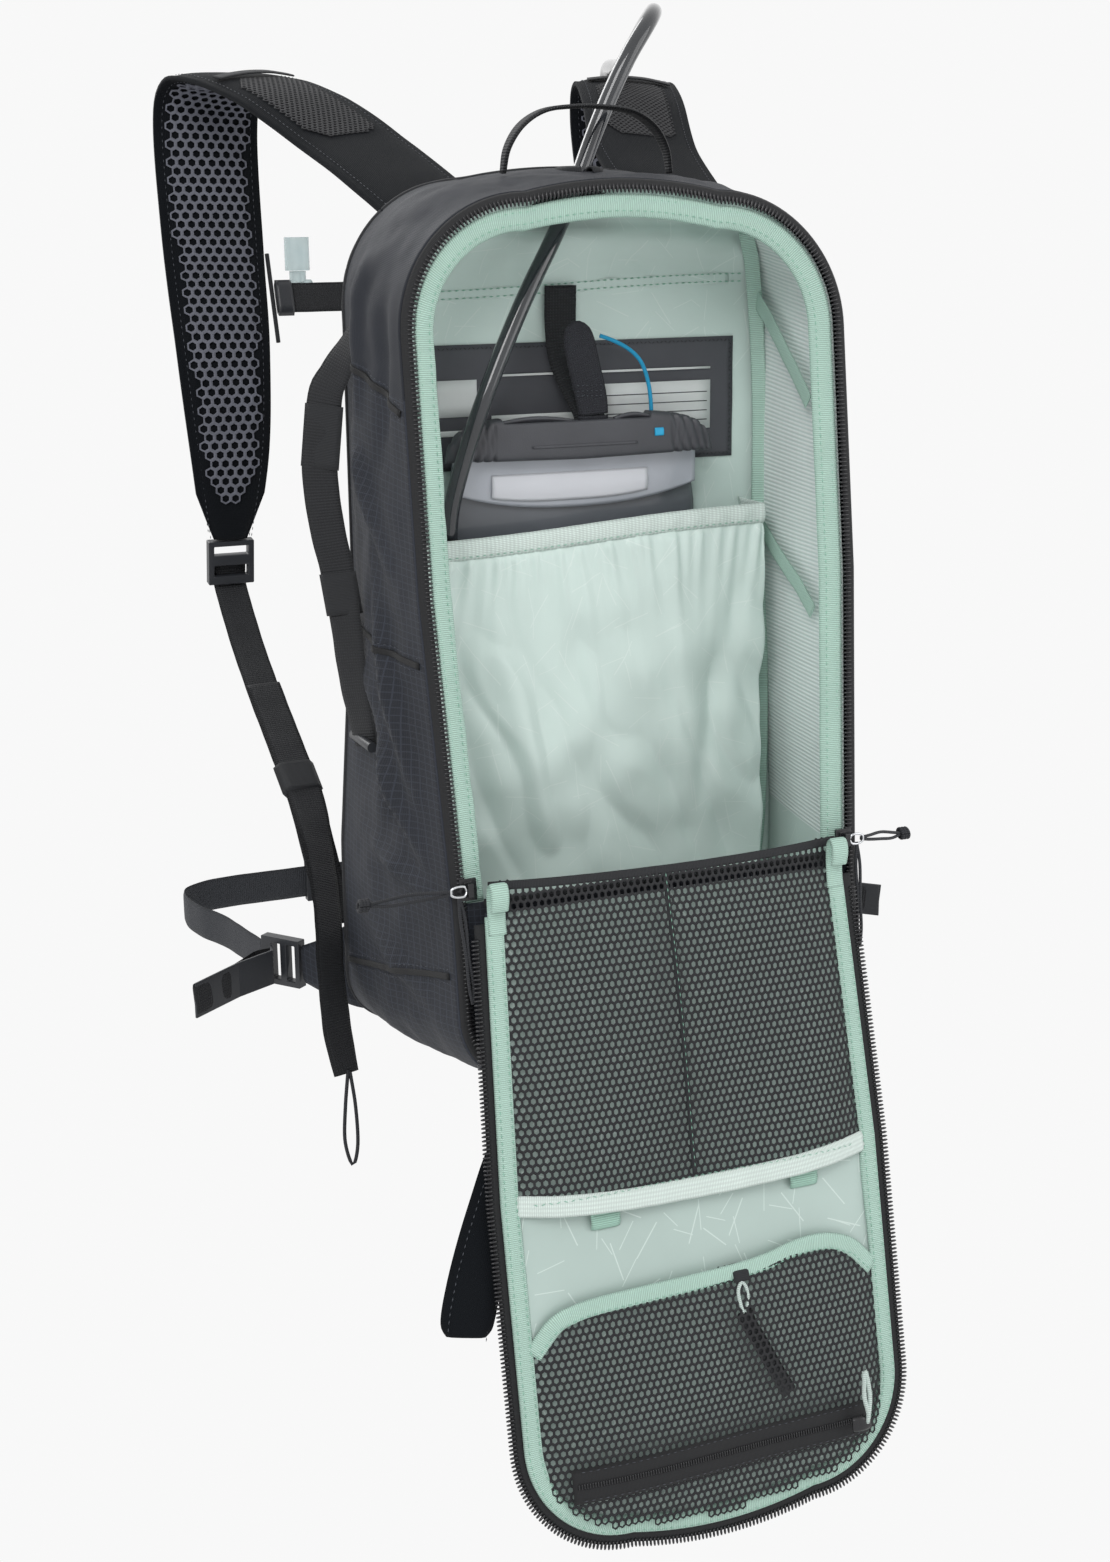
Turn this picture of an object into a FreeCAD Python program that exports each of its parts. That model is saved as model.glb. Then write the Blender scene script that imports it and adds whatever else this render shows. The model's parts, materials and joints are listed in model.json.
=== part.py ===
import FreeCAD, Part
import math
import os

# Hydration pack with a fold-down front panel, millimetres, +Z up.
# X runs to the right as seen from the opening side, -Y is the opening side and +Y is the wearer's back.
# The pieces are drawn about the middle of the fold line, then moved so that the origin is the point
# of the haul loop that a hook bears on.

V = FreeCAD.Vector

# Bag
FRONT_TILT = 7.7         # lean of the opening plane from the vertical, degrees
OPEN_HEIGHT = 340.0      # fold line to the top of the zip
HALF_FOLD = 105.6        # half width of the zip at the fold line
HALF_MID = 112.0         # half width of the zip from MID_HEIGHT up
MID_HEIGHT = 150.0
TOP_CORNER = 60.0
TOP_CROWN = 6.0          # rise of the top edge between its corners
BELOW_FOLD = 88.0        # fold line down to the zip's lower line
LOW_CORNER = 30.0
BACK_Y = 125.0           # outside of the back panel
BACK_HALF_FOLD = 130.0
BACK_HALF_MID = 119.0
TOP_RISE = 10.0          # top of the zip to the top of the back panel
BACK_TOP = OPEN_HEIGHT + TOP_RISE
BACK_BOTTOM = -104.0
BACK_PANEL = 4.0
WALL = 2.5
LINING = 1.0
LINING_GAP = 0.3
LABEL = 0.8              # thickness of the patch on the lining
SEAM_X = 70.0            # half width of the top and base panels
SEAM_TOP = 250.0
SEAM_BASE = -60.0

# Zip and bindings, measured from the line of the teeth
TAPE = 7.0
TAPE_THICK = 1.4
TEETH = 0.6
ZIP_END = -80.0
BINDING = 10.0
BINDING_THICK = 1.5
RIM_DEPTH = 2.0          # zip face to rim binding

# Fold-down front panel
FLAP_OPEN = 175.0        # turn from closed to hanging, degrees
FLAP_AXIS = 4.0          # fold axis in front of the opening plane
FOLD_ROLL = 2.2
FLAP_THICK = 3.0
FLAP_GAP = 0.3
FLAP_START = 3.0         # fold line to the first edge of the panel
FLAP_TAPE_START = 16.0
FLAP_TAPE = 8.0
POCKET_WALL = 1.2
POCKET_DEPTH = 12.0
POCKET_INSET = 15.0
UPPER_POCKET_END = 150.0
LOWER_POCKET_START = 200.0
POCKET_ZIP = 296.0       # fold line to the pocket zip
POCKET_ZIP_BAND = 18.0
ELASTIC = 10.0
EDGE_BINDING = 9.0
ZIP_HALF = 84.0          # half length of the pocket zip
SEAM_LINE = -3.0         # stitched line that splits the upper pocket
SEAM_HALF = 0.6
FLAP_TABS = [(-52, 153), (61, 161)]
GEAR_TAB_LINE = [(-88, 1.6, 128), (-104, 1.6, 146), (-124, 2.4, 180), (-128, 2.8, 212)]
GEAR_TAB_WIDTHS = [20.0, 30.0, 32.0, 22.0]

# Hydration
BLADDER_HALF = 72.0
BLADDER_LOW = -70.0
BLADDER_TOP = 204.0
BLADDER_THICK = 11.0
BLADDER_CORNER = 12.0    # height of the tapered bottom
BLADDER_TAPER = 40.0
BLADDER_SHOULDER = 30.0  # height of the tapered top
BLADDER_NECK = 8.0
FILM_THICK = 1.0         # folded film under the closure bar
FILM_DROP = 32.0
BAR_UNDER = 4.0          # closure bar below BAR_Z
BAR_LIP = 3.0            # groove of the bar above BAR_Z
BAR_GROOVE = 4.0
BAR_GAP = 1.5            # bar to the bladder
BAR_SLOT = (-46.0, 38.0) # slot for the hanger, X from and to
RAIL_DROP = 12.0
OUTLET_RING = 9.0
OUTLET_PIPE = 5.5
OUTLET_RISE = 12.0
HANGER_GAP = 9.7         # hanger tab in front of the bladder
HANGER_X = 6.0
BAR_HALF = 76.0
BAR_HEIGHT = 19.0
BAR_DEPTH = 12.0
BAR_Z = 209.0
SLEEVE_TOP = 160.0
SLEEVE_LOW = -80.0
SLEEVE_HALF = 104.0
SLEEVE_FOLD = 9.0
SLEEVE_FRONT_LOW = 84.0
SLEEVE_FRONT_TOP = 89.5
SLEEVE_THICK = 1.5
HOSE = 9.0
LANYARD = 2.2
OUTLET = (-40.0, -20.0)  # reservoir outlet, X and Z
PORT = (2.0, 107.0)      # hose port in the top panel, X and Y
PORT_HOLE = 8.0
PORT_LIP = 12.5

# Webbing
WEB = 20.0
WEB_THICK = 1.6
LOOP_WEB = 12.0
LOOP_THICK = 2.4
HAUL_Y = 90.0
HAUL_HALF = 46.0
HAUL_RISE = 30.0         # top of the back panel to the top of the haul loop
HAUL_TOP = BACK_TOP + HAUL_RISE
HAUL_REACH = 32.0        # hinge line of the loop to its top
HAUL_HINGE_Z = HAUL_TOP - HAUL_REACH
HAUL_END = 2.2           # radius of the rolled ends of the haul loop
RUN_GAP = 0.4            # running clearance between moving pieces
HALF_GAP = 0.2
SEAT = 0.08              # clearance under a piece seated on a curved face
STRAP_THICK = 8.0
MESH_THICK = 1.5
MESH_GAP = 0.05
MESH_BORDER = 14.0       # strap width left bare round the mesh
STERNUM = (BACK_Y + 203.2, 281.0)  # sternum strap, Y and Z
STERNUM_LEAN = 19.3      # lean of the chest part of the shoulder strap, degrees
STERNUM_RAIL_X = 103.0
RAIL = 1.8               # radius of the piping that the sternum strap slides on
WAIST_Z = -78.0
PAD_THICK = 8.0

# Harness lines, chosen by hand, and the fittings on them
def behind(points):
    """Points whose second value is given from the outside of the back panel."""
    return [(point[0], BACK_Y + point[1]) + tuple(point[2:]) for point in points]


STRAP_LINE = behind([(-70, 2.2, 331), (-74, 25, 341), (-85, 81, 364), (-105, 140, 391), (-122, 190, 404),
                     (-130, 218, 400), (-133, 227, 376), (-135, 213, 309), (-137, 193, 252),
                     (-137, 189, 194), (-138, 195, 140)])
STRAP_WIDTHS = [58.0, 60.0, 62.0, 62.0, 62.0, 62.0, 62.0, 60.0, 56.0, 48.0, 34.0]
WEBBING_LINE = behind([(-138, 200.5, 110.5), (-137, 175, 84), (-136, 141, 58), (-133, 65, 6),
                       (-131, 40, -28), (-129.5, 16, -51)])
TAIL_DROP = 3.6          # webbing to tail, centre to centre
TAIL_END = behind([(-137, 13, -34), (-144, -11, -64), (-144, -21, -98), (-142, -27, -122)])
LOCK_LENGTH = 28.0
LOCK_GAP = 0.8
LOCK_TILT = 10.0
STERNUM_BUCKLE = (28.0, 24.0, 8.0)
STERNUM_WEB = 18.0
WAIST_BUCKLE = (34.0, 28.0, 10.0)
SIDE_STRAP_LINE = behind([(-120.4, -25, 278), (-124, -22, 266), (-137, -18, 240), (-141, -18, 205),
                          (-139, -19, 178), (-131, -21, 154), (-126, -23, 130), (-124.8, -29, 98),
                          (-125.2, -36, 62)])
TOGGLE = 2.6
FIN_END = (-148.0, BACK_Y + 33.0)
BELT_DIR = (-0.62, 0.785)
WAIST_LOCK = 26.0
WAIST_TAIL = behind([(-186, 28, 2), (-214, 13, 5)])
WAIST_LINE = behind([(-174, 105), (-186, 143), (-185, 165), (-168, 177), (-130, 180)])

# Zip sliders, pockets and key clip
SLIDER_START = 2.0
SLIDER = 11.0
SLIDER_HALF = 4.5
SLIDER_THICK = 1.6
EYE_HALF = 1.5
EYE_HOLE = 0.9
BAIL_LENGTH = 8.0
BAIL_HALF = 2.6
BAIL_THICK = 2.4
BAIL_SWING = 3.2         # slider face to the eye, more than the bail's half diagonal
PULL_CORD = 1.4          # radius of the pull cords
KNOT = 3.2
HANGING_CORD = 56.0
POCKET_BACK = 0.5        # lining face behind the plane of the teeth, when closed
KEY_X = 18.0
KEY_Z = 210.0

# Drinking hose, from the reservoir outlet through the port, along the right strap to the bite valve
HOSE_ROUTE = [(-40, 101.8, -8), (-40, 101.8, 26), (-46, 102.2, 60), (-56, 102.4, 92), (-67, 102, 122),
              (-75, 100, 150), (-77, 95, 178), (-71, 88, 206), (-62, 86, 232), (-49, 88, 260), (-33, 92, 290),
              (-14, 99, 318), (2, 107, 345), (14, 110, 372), (30, 110, 404), (46, 115, 424), (60, 138, 432),
              (74, 178, 430), (86, 222, 421), (97, 264, 411), (109, 304, 414), (121, 340, 416),
              (131, 364, 396), (134, 368, 365), (130, 364, 334), (118, 358, 306), (94, 353, 290),
              (62, 347, 284), (24, 346, 285), (-14, 347, 282), (-48, 346, 284), (-74, 346, 284)]

os.makedirs("parts", exist_ok=True)

HOOK = V(0, HAUL_Y, HAUL_TOP - LOOP_THICK / 2)
X_AXIS = V(1, 0, 0)
Y_AXIS = V(0, 1, 0)
Z_AXIS = V(0, 0, 1)


def save(name, *solids):
    """Write one node, moved so that the hook point is the origin."""
    parts = [s for shape in solids for s in shape.Solids]
    shape = parts[0] if len(parts) == 1 else Part.makeCompound(parts)
    moved = shape.copy()
    moved.translate(HOOK * -1)
    moved.exportStep("parts/" + name + ".step")
    volume = sum(s.Volume for s in parts)
    print(name, len(parts), "solid(s)", round(volume), "mm3", "valid", shape.isValid())


def same(shape):
    return shape


def mirror(shape):
    """The same piece on the other side of the pack."""
    return shape.mirror(V(0, 0, 0), X_AXIS)


def box(low, high):
    size = V(*high) - V(*low)
    return Part.makeBox(size.x, size.y, size.z, V(*low))


def rod(start, end, radius):
    start = V(*start)
    run = V(*end) - start
    return Part.makeCylinder(radius, run.Length, start, run)


def skin(sections):
    """A closed solid over matching four-cornered sections, from flat triangles."""
    faces = []

    def triangle(*corners):
        faces.append(Part.Face(Part.makePolygon(list(corners) + [corners[0]])))

    for near, far in zip(sections, sections[1:]):
        for i in range(4):
            j = (i + 1) % 4
            triangle(near[i], near[j], far[j])
            triangle(near[i], far[j], far[i])
    for end in (sections[0], sections[-1]):
        triangle(end[0], end[1], end[2])
        triangle(end[0], end[2], end[3])
    solid = Part.Solid(Part.makeShell(faces))
    if solid.Volume < 0:
        solid.reverse()
    return solid


def ribbon(points, width, thick, across=X_AXIS, offset=0.0, part=slice(None)):
    """A flat strip of even thickness along a line of points, mitred at its bends.

    across is the direction of its width, offset moves it off the line, part keeps some sections."""
    line = [V(*p) for p in points]
    widths = width if isinstance(width, (list, tuple)) else [width] * len(line)
    across = V(across).normalize()
    runs = [(b - a - across * across.dot(b - a)).normalize() for a, b in zip(line, line[1:])]
    sections = []
    for i, point in enumerate(line):
        behind = runs[max(i - 1, 0)]
        ahead = runs[min(i, len(runs) - 1)]
        mitre = 1 / math.cos(behind.getAngle(ahead) / 2)
        lift = (behind + ahead).normalize().cross(across) * mitre
        centre = point + lift * offset
        half = across * (widths[i] / 2)
        rise = lift * (thick / 2)
        sections.append([centre + half + rise, centre + half - rise,
                         centre - half - rise, centre - half + rise])
    return skin(sections[part])


def beside(line, i, distance):
    """A point of a line moved square to the run that reaches it, along its flat side."""
    here = V(*line[i])
    run = (V(*line[i]) - V(*line[i - 1])).normalize()
    return tuple(here + run.cross(X_AXIS).normalize() * distance)


# Outlines

def outline(y, half_fold, half_mid, mid_z, corner_z, corner, top, crown, bottom, low_corner):
    """Closed outline of the bag in the plane Y = y, from lines and arcs."""
    centre_x = half_mid - corner
    diagonal = corner * math.sqrt(0.5)
    low_x = half_fold - low_corner
    low_z = bottom + low_corner
    low_diagonal = low_corner * math.sqrt(0.5)
    right = [
        V(low_x, y, bottom),
        V(low_x + low_diagonal, y, low_z - low_diagonal),
        V(half_fold, y, low_z),
        V(half_fold, y, 0),
        V(half_mid, y, mid_z),
        V(half_mid, y, corner_z),
        V(centre_x + diagonal, y, corner_z + diagonal),
        V(centre_x, y, corner_z + corner),
    ]
    left = [V(-p.x, p.y, p.z) for p in right]
    crest = V(0, y, top + crown)
    edges = [
        Part.LineSegment(left[0], right[0]).toShape(),
        Part.Arc(right[0], right[1], right[2]).toShape(),
        Part.LineSegment(right[2], right[3]).toShape(),
        Part.LineSegment(right[3], right[4]).toShape(),
        Part.LineSegment(right[4], right[5]).toShape(),
        Part.Arc(right[5], right[6], right[7]).toShape(),
        Part.Arc(right[7], crest, left[7]).toShape(),
        Part.Arc(left[7], left[6], left[5]).toShape(),
        Part.LineSegment(left[5], left[4]).toShape(),
        Part.LineSegment(left[4], left[3]).toShape(),
        Part.LineSegment(left[3], left[2]).toShape(),
        Part.Arc(left[2], left[1], left[0]).toShape(),
    ]
    return Part.Wire(edges)


def zip_outline(grow, y=0.0):
    """Outline of the opening in its own plane, offset outwards from the teeth by grow."""
    top = OPEN_HEIGHT - TOP_CROWN + grow
    corner_z = OPEN_HEIGHT - TOP_CROWN - TOP_CORNER
    return outline(y, HALF_FOLD + grow, HALF_MID + grow, MID_HEIGHT, corner_z, TOP_CORNER + grow,
                   top, TOP_CROWN, -BELOW_FOLD - grow, LOW_CORNER + grow)


def back_outline(y, inset):
    top = BACK_TOP - TOP_CROWN - inset
    corner_z = BACK_TOP - TOP_CROWN - TOP_CORNER
    return outline(y, BACK_HALF_FOLD - inset, BACK_HALF_MID - inset, MID_HEIGHT, corner_z,
                   TOP_CORNER - inset, top, TOP_CROWN, BACK_BOTTOM + inset, LOW_CORNER - inset)


def tilt(shape):
    """From the opening's own upright plane to its leaning place on the bag."""
    leaning = shape.copy()
    leaning.rotate(V(0, 0, 0), X_AXIS, -FRONT_TILT)
    return leaning


def slab(wire, depth_out, thick):
    """A plate on an outline: depth_out is its front face, in front of the plane of the teeth."""
    face = Part.Face(wire)
    plate = face.extrude(V(0, thick, 0))
    plate.translate(V(0, -depth_out, 0))
    return plate


def ring(grow_out, grow_in, depth_out, thick):
    return slab(zip_outline(grow_out), depth_out, thick).cut(slab(zip_outline(grow_in), depth_out, thick))


def above(shape, z):
    far = 1000.0
    return shape.cut(box((-far, -far, -far), (far, far, z)))


def below(shape, z):
    far = 1000.0
    return shape.cut(box((-far, -far, z), (far, far, far)))


def open_flap(shape):
    """From the closed place in the opening to the hanging place, both leaning with the bag."""
    hanging = shape.copy()
    hanging.rotate(V(0, -FLAP_AXIS, 0), X_AXIS, FLAP_OPEN)
    return tilt(hanging)


# Bag shell

def shell_ring():
    depth = BACK_Y - BACK_PANEL
    outer = Part.makeLoft([tilt(zip_outline(TAPE)), back_outline(depth, 0)], True, True)
    inner = Part.makeLoft([tilt(zip_outline(TAPE - WALL)), back_outline(depth, WALL)], True, True)
    return outer.cut(inner)


def hose_hole(radius):
    x, y = PORT
    reach = 60.0
    return Part.makeCylinder(radius, reach, V(x, y, BACK_TOP - reach / 2))


def haul_anchors():
    """Stitched webbing tabs on the top panel, one under each end of the haul loop."""
    top = HAUL_HINGE_Z - HAUL_END - RUN_GAP
    anchors = []
    for x in (-HAUL_HALF, HAUL_HALF):
        tab = box((x - 8, HAUL_Y - 8, top - 6), (x + 8, HAUL_Y + 8, top))
        seated = tab.cut(shell_solid())
        seated.translate(V(0, 0, SEAT))
        anchors.append(seated)
    return anchors


def fold_roll():
    """The rolled seam along the fold line that the opening panel turns about."""
    half = HALF_FOLD - FLAP_TAPE
    roll = rod((-half, -FLAP_AXIS, 0), (half, -FLAP_AXIS, 0), FOLD_ROLL)
    return roll.fuse(box((-half, -FLAP_AXIS, -FOLD_ROLL), (half, 0, -1.0)))


def make_shell():
    band = shell_ring()
    far = 1000.0
    top_zone = box((-SEAM_X, -far, SEAM_TOP), (SEAM_X, far, far))
    base_zone = box((-SEAM_X, -far, -far), (SEAM_X, far, SEAM_BASE))
    left_zone = box((-far, -far, -far), (0, far, far))
    sides = band.cut(top_zone).cut(base_zone)
    save("top_panel", band.common(top_zone).cut(hose_hole(PORT_HOLE)), *haul_anchors())
    save("base_panel", band.common(base_zone))
    save("side_panels", sides.common(left_zone), sides.cut(left_zone))
    back = Part.Face(back_outline(BACK_Y - BACK_PANEL, 0)).extrude(V(0, BACK_PANEL, 0))
    save("back_panel", back)
    front = slab(zip_outline(TAPE - WALL - LINING_GAP), 0, WALL)
    save("lower_front_panel", tilt(below(front, -1.0)), tilt(fold_roll()))
    tape = above(ring(TAPE, 0, TAPE_THICK, TAPE_THICK), ZIP_END)
    closed = below(above(ring(-TEETH, -TAPE, TAPE_THICK, TAPE_THICK), ZIP_END), -FLAP_START)
    save("zip_tape_body", tilt(tape), tilt(closed))
    rim = ring(TAPE - WALL - LINING_GAP, -BINDING, -RIM_DEPTH, BINDING_THICK)
    save("rim_binding", tilt(above(rim, 0)))


def make_back_pads():
    pads = []
    for x_low, x_high in ((-95.0, -20.0), (20.0, 95.0)):
        for z_low, z_high in ((-60.0, 60.0), (80.0, 190.0), (210.0, 300.0)):
            pads.append(box((x_low, BACK_Y, z_low), (x_high, BACK_Y + PAD_THICK, z_high)))
    save("back_pads", *pads)


def make_linings():
    face = Part.Face(back_outline(BACK_Y - BACK_PANEL - LINING, WALL + LINING_GAP))
    lining = face.extrude(V(0, LINING, 0))
    depth = BACK_Y - BACK_PANEL
    skin = LINING + WALL + LINING_GAP
    wall = WALL + LINING_GAP
    outer = Part.makeLoft([tilt(zip_outline(TAPE - wall)), back_outline(depth, wall)], True, True)
    inner = Part.makeLoft([tilt(zip_outline(TAPE - skin)), back_outline(depth, skin)], True, True)
    band = outer.cut(inner)
    band = band.cut(tilt(box((-500, -50, -500), (500, RIM_DEPTH + BINDING_THICK, 500))))
    band = band.cut(box((-500, depth - LINING, -500), (500, depth + 50, 500)))
    band = band.cut(box((-SEAM_X, -500, -500), (SEAM_X, 500, 500)))
    left_zone = box((-500, -500, -500), (0, 500, 500))
    save("bag_lining", lining, band.common(left_zone), band.cut(left_zone))


def wall_x(y, z):
    """Inside face of the side lining at a depth and a height."""
    front_y = z * math.tan(math.radians(FRONT_TILT))
    rise = min(max(z / MID_HEIGHT, 0), 1)
    front = HALF_FOLD + (HALF_MID - HALF_FOLD) * rise + TAPE - WALL - LINING
    back = BACK_HALF_FOLD + (BACK_HALF_MID - BACK_HALF_FOLD) * rise - WALL - LINING
    share = (y - front_y) / (BACK_Y - BACK_PANEL - front_y)
    return front + (back - front) * share


def make_inner_trim():
    lining_y = BACK_Y - BACK_PANEL - LINING
    y = lining_y - 3.0
    heights = (-30.0, 60.0, 150.0, 270.0)
    line = [(wall_x(y, z) - 3.4, y, z) for z in heights]
    seam = ribbon(line, 7.0, 1.2, V(1, -1, 0))
    tapes = []
    for (y_back, z_back), (y_front, z_front) in (((112.0, 280.0), (64.0, 244.0)),
                                                 ((106.0, 160.0), (50.0, 131.0))):
        mid_y = (y_back + y_front) / 2
        mid_z = (z_back + z_front) / 2
        spots = ((y_back, min(z_back, 270.0)), (mid_y, mid_z), (y_front, z_front))
        line = [(wall_x(yy, zz) - 1.2, yy, zz) for yy, zz in spots]
        tapes.append(ribbon(line, 9.0, 1.2, V(0, -0.5, 1)))
    save("inner_bindings", *[flip(t) for t in tapes + [seam] for flip in (same, mirror)])
    save("label_patch", box((-80, lining_y - LABEL, 198), (98, lining_y, 263)))


# Hydration sleeve and reservoir

def sleeve_section(z, front_y):
    """Channel section of the sleeve: sewn to the lining at its sides, standing off it in front."""
    lining_y = BACK_Y - BACK_PANEL - LINING
    outer = [(SLEEVE_HALF, lining_y), (SLEEVE_HALF, front_y + SLEEVE_FOLD),
             (SLEEVE_HALF - SLEEVE_FOLD, front_y)]
    inner = [(SLEEVE_HALF - SLEEVE_FOLD - 1, front_y + SLEEVE_THICK),
             (SLEEVE_HALF - SLEEVE_THICK, front_y + SLEEVE_FOLD + 1), (SLEEVE_HALF - SLEEVE_THICK, lining_y)]
    loop = [(-x, y) for x, y in outer] + outer[::-1] + inner[::-1] + [(-x, y) for x, y in inner]
    corners = [V(x, y, z) for x, y in loop]
    return Part.makePolygon(corners + corners[:1])


def make_sleeve():
    low = sleeve_section(SLEEVE_LOW, SLEEVE_FRONT_LOW)
    top = sleeve_section(SLEEVE_TOP, SLEEVE_FRONT_TOP)
    band_top = sleeve_section(SLEEVE_TOP + ELASTIC, SLEEVE_FRONT_TOP)
    cloth = Part.makeLoft([low, top], True, True)
    elastic = Part.makeLoft([top, band_top], True, True)
    save("hydration_sleeve", cloth, elastic)


def bladder_y():
    return BACK_Y - BACK_PANEL - LINING - LABEL - RUN_GAP - BLADDER_THICK / 2


def make_reservoir():
    y = bladder_y()
    heights = (BLADDER_LOW, BLADDER_LOW + BLADDER_CORNER, BLADDER_TOP - BLADDER_SHOULDER, BLADDER_TOP)
    full = 2 * BLADDER_HALF
    widths = [full - BLADDER_TAPER, full, full, full - BLADDER_NECK]
    body = ribbon([(0, y, z) for z in heights], widths, BLADDER_THICK)
    save("reservoir_bladder", body)
    front = y - BLADDER_THICK / 2
    film_front = front - FILM_THICK - HALF_GAP
    film = box((-BAR_HALF + 5, film_front, BAR_Z - FILM_DROP), (BAR_HALF - 5, front - HALF_GAP, BAR_Z - 6))
    bar_back = front - BAR_GAP
    groove_front = bar_back - BAR_GROOVE
    bar_low = BAR_Z - BAR_UNDER
    bar = box((-BAR_HALF, bar_back - BAR_DEPTH, bar_low), (BAR_HALF, bar_back, bar_low + BAR_HEIGHT))
    groove = box((-BAR_HALF, groove_front, bar_low), (BAR_HALF, bar_back, BAR_Z + BAR_LIP))
    slot_front = bar_back - BAR_DEPTH + 2.5
    slot = box((BAR_SLOT[0], slot_front, BAR_Z + 4), (BAR_SLOT[1], slot_front + 7.5, BAR_Z + BAR_HEIGHT))
    save("closure_bar", bar.cut(groove).cut(slot))
    rail = box((-BAR_HALF + 4, groove_front + RUN_GAP, BAR_Z - RAIL_DROP),
               (BAR_HALF - 4, bar_back - RUN_GAP, BAR_Z + BAR_LIP - RUN_GAP))
    x, z = OUTLET
    elbow = rod((x, front, z), (x, front - OUTLET_RING, z), OUTLET_RING)
    elbow = elbow.fuse(rod((x, front - 6, z), (x, front - 6, z + OUTLET_RISE), OUTLET_PIPE))
    save("reservoir_fittings", rail, film, elbow)


def bar_top():
    return BAR_Z - BAR_UNDER + BAR_HEIGHT


def hanger_y():
    return bladder_y() - BLADDER_THICK / 2 - HANGER_GAP


def make_hanger():
    """A sewn strap whose end passes through the closure bar and doubles back as a hook-and-loop tab."""
    lining_y = BACK_Y - BACK_PANEL - LINING
    sewn_y = lining_y - LABEL - 1.1
    base = ribbon([(-5, sewn_y, 286), (-5, sewn_y, 262), (2, lining_y - 9, 240)], 18.0, WEB_THICK)
    y = hanger_y()
    x = HANGER_X
    root = ribbon([(x, y, bar_top() - 9), (x, y, bar_top() + 1.2)], 17.0, WEB_THICK)
    save("hanger_base", base, root)
    start = bar_top() + 2.0
    line = [(x, y, start), (x, y, start + 8), (x - 6, y - 1.0, start + 26), (x - 9, y - 0.5, start + 48)]
    save("hanger_tab", ribbon(line, [17.0, 18.0, 18.0, 14.0], WEB_THICK))
    cord = [(42, y + 5, bar_top()), (42, y + 5, 240), (33, y + 7, 260), (14, y + 9, 266)]
    save("lanyard", tube(cord, LANYARD))


def tube(route, diameter):
    """Straight runs joined by tangent arcs, swept with a round section."""
    line = [V(*p) for p in route]
    edges = []
    radii = []
    here = line[0]
    for before, corner, after in zip(line, line[1:], line[2:]):
        back = (before - corner).normalize()
        ahead = (after - corner).normalize()
        half_turn = (math.pi - back.getAngle(ahead)) / 2
        cut = 0.45 * min((before - corner).Length, (after - corner).Length)
        radius = cut / math.tan(half_turn)
        radii.append(round(radius))
        start = corner + back * cut
        end = corner + ahead * cut
        bisector = (back + ahead).normalize()
        middle = corner + bisector * (radius / math.cos(half_turn) - radius)
        edges.append(Part.LineSegment(here, start).toShape())
        edges.append(Part.Arc(start, middle, end).toShape())
        here = end
    edges.append(Part.LineSegment(here, line[-1]).toShape())
    path = Part.Wire(edges)
    ring_edge = Part.makeCircle(diameter / 2, line[0], line[1] - line[0])
    solid = path.makePipeShell([Part.Wire([ring_edge])], True, False)
    ratio = solid.Volume / (math.pi * diameter ** 2 / 4 * path.Length)
    print("cord radii", radii, "length", round(path.Length), "volume ratio", round(ratio, 4))
    return solid


def make_hose():
    save("drink_hose", tube(HOSE_ROUTE, HOSE))
    x, y, z = HOSE_ROUTE[-1]
    valve = rod((x, y, z), (x - 14, y, z), 7.0)
    valve = valve.fuse(rod((x - 8, y, z), (x - 8, y, z + 12), 5.0))
    save("bite_valve_body", valve)
    save("bite_valve_mouthpiece", rod((x - 8, y, z + 12 + RUN_GAP), (x - 8, y, z + 32), 7.5))
    port_x, port_y = PORT
    lip = Part.makeCylinder(PORT_LIP, 8.0, V(port_x, port_y, BACK_TOP - 6.5))
    save("hose_port", lip.cut(hose_hole(PORT_HOLE)).cut(shell_solid()))


def shell_solid():
    depth = BACK_Y - BACK_PANEL
    outer = Part.makeLoft([tilt(zip_outline(TAPE)), back_outline(depth, 0)], True, True)
    return outer


# Haul loop and harness

def make_haul_loop():
    hinge_z = HAUL_HINGE_Z
    rise = HAUL_TOP - hinge_z
    shares = ((1.0, 0.0), (0.93, 0.45), (0.7, 0.82), (0.35, 1.0))
    right = [(HAUL_HALF * x, HAUL_Y, hinge_z + rise * z) for x, z in shares]
    line = [(-x, y, z) for x, y, z in right] + right[::-1]
    widths = [4.0, 9.0, LOOP_WEB, LOOP_WEB]
    loop = ribbon(line, widths + widths[::-1], LOOP_THICK, Y_AXIS)
    for x in (-HAUL_HALF, HAUL_HALF):
        loop = loop.fuse(rod((x - 3, HAUL_Y, hinge_z), (x + 3, HAUL_Y, hinge_z), HAUL_END))
    save("haul_loop", loop)


# Free end of the shoulder webbing, doubled back under the keeper
TAIL_LINE = [beside(WEBBING_LINE, i, TAIL_DROP) for i in (2, 3)]
TAIL_LINE += TAIL_END

def make_strap_lock():
    lock = box((-14, -3, -LOCK_LENGTH), (14, 3, -LOCK_GAP))
    for low, high in ((4, 10), (16, 23)):
        lock = lock.cut(box((-10.5, -4, -high), (10.5, 4, -low)))
    lock.rotate(V(0, 0, 0), X_AXIS, LOCK_TILT)
    lock.translate(V(*STRAP_LINE[-1]))
    return lock


def make_keeper():
    """Elastic band round the webbing and its tail."""
    start = V(*WEBBING_LINE[2])
    run = V(*WEBBING_LINE[3]) - start
    spots = [start + run * share for share in (0.70, 0.92)]
    longer = [start + run * share for share in (0.69, 0.93)]
    inside = WEB_THICK + abs(TAIL_DROP) + 2 * RUN_GAP
    outer = ribbon(spots, WEB + 4, inside + 3, X_AXIS, TAIL_DROP / 2)
    return outer.cut(ribbon(longer, WEB + 2 * RUN_GAP, inside, X_AXIS, TAIL_DROP / 2))


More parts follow.
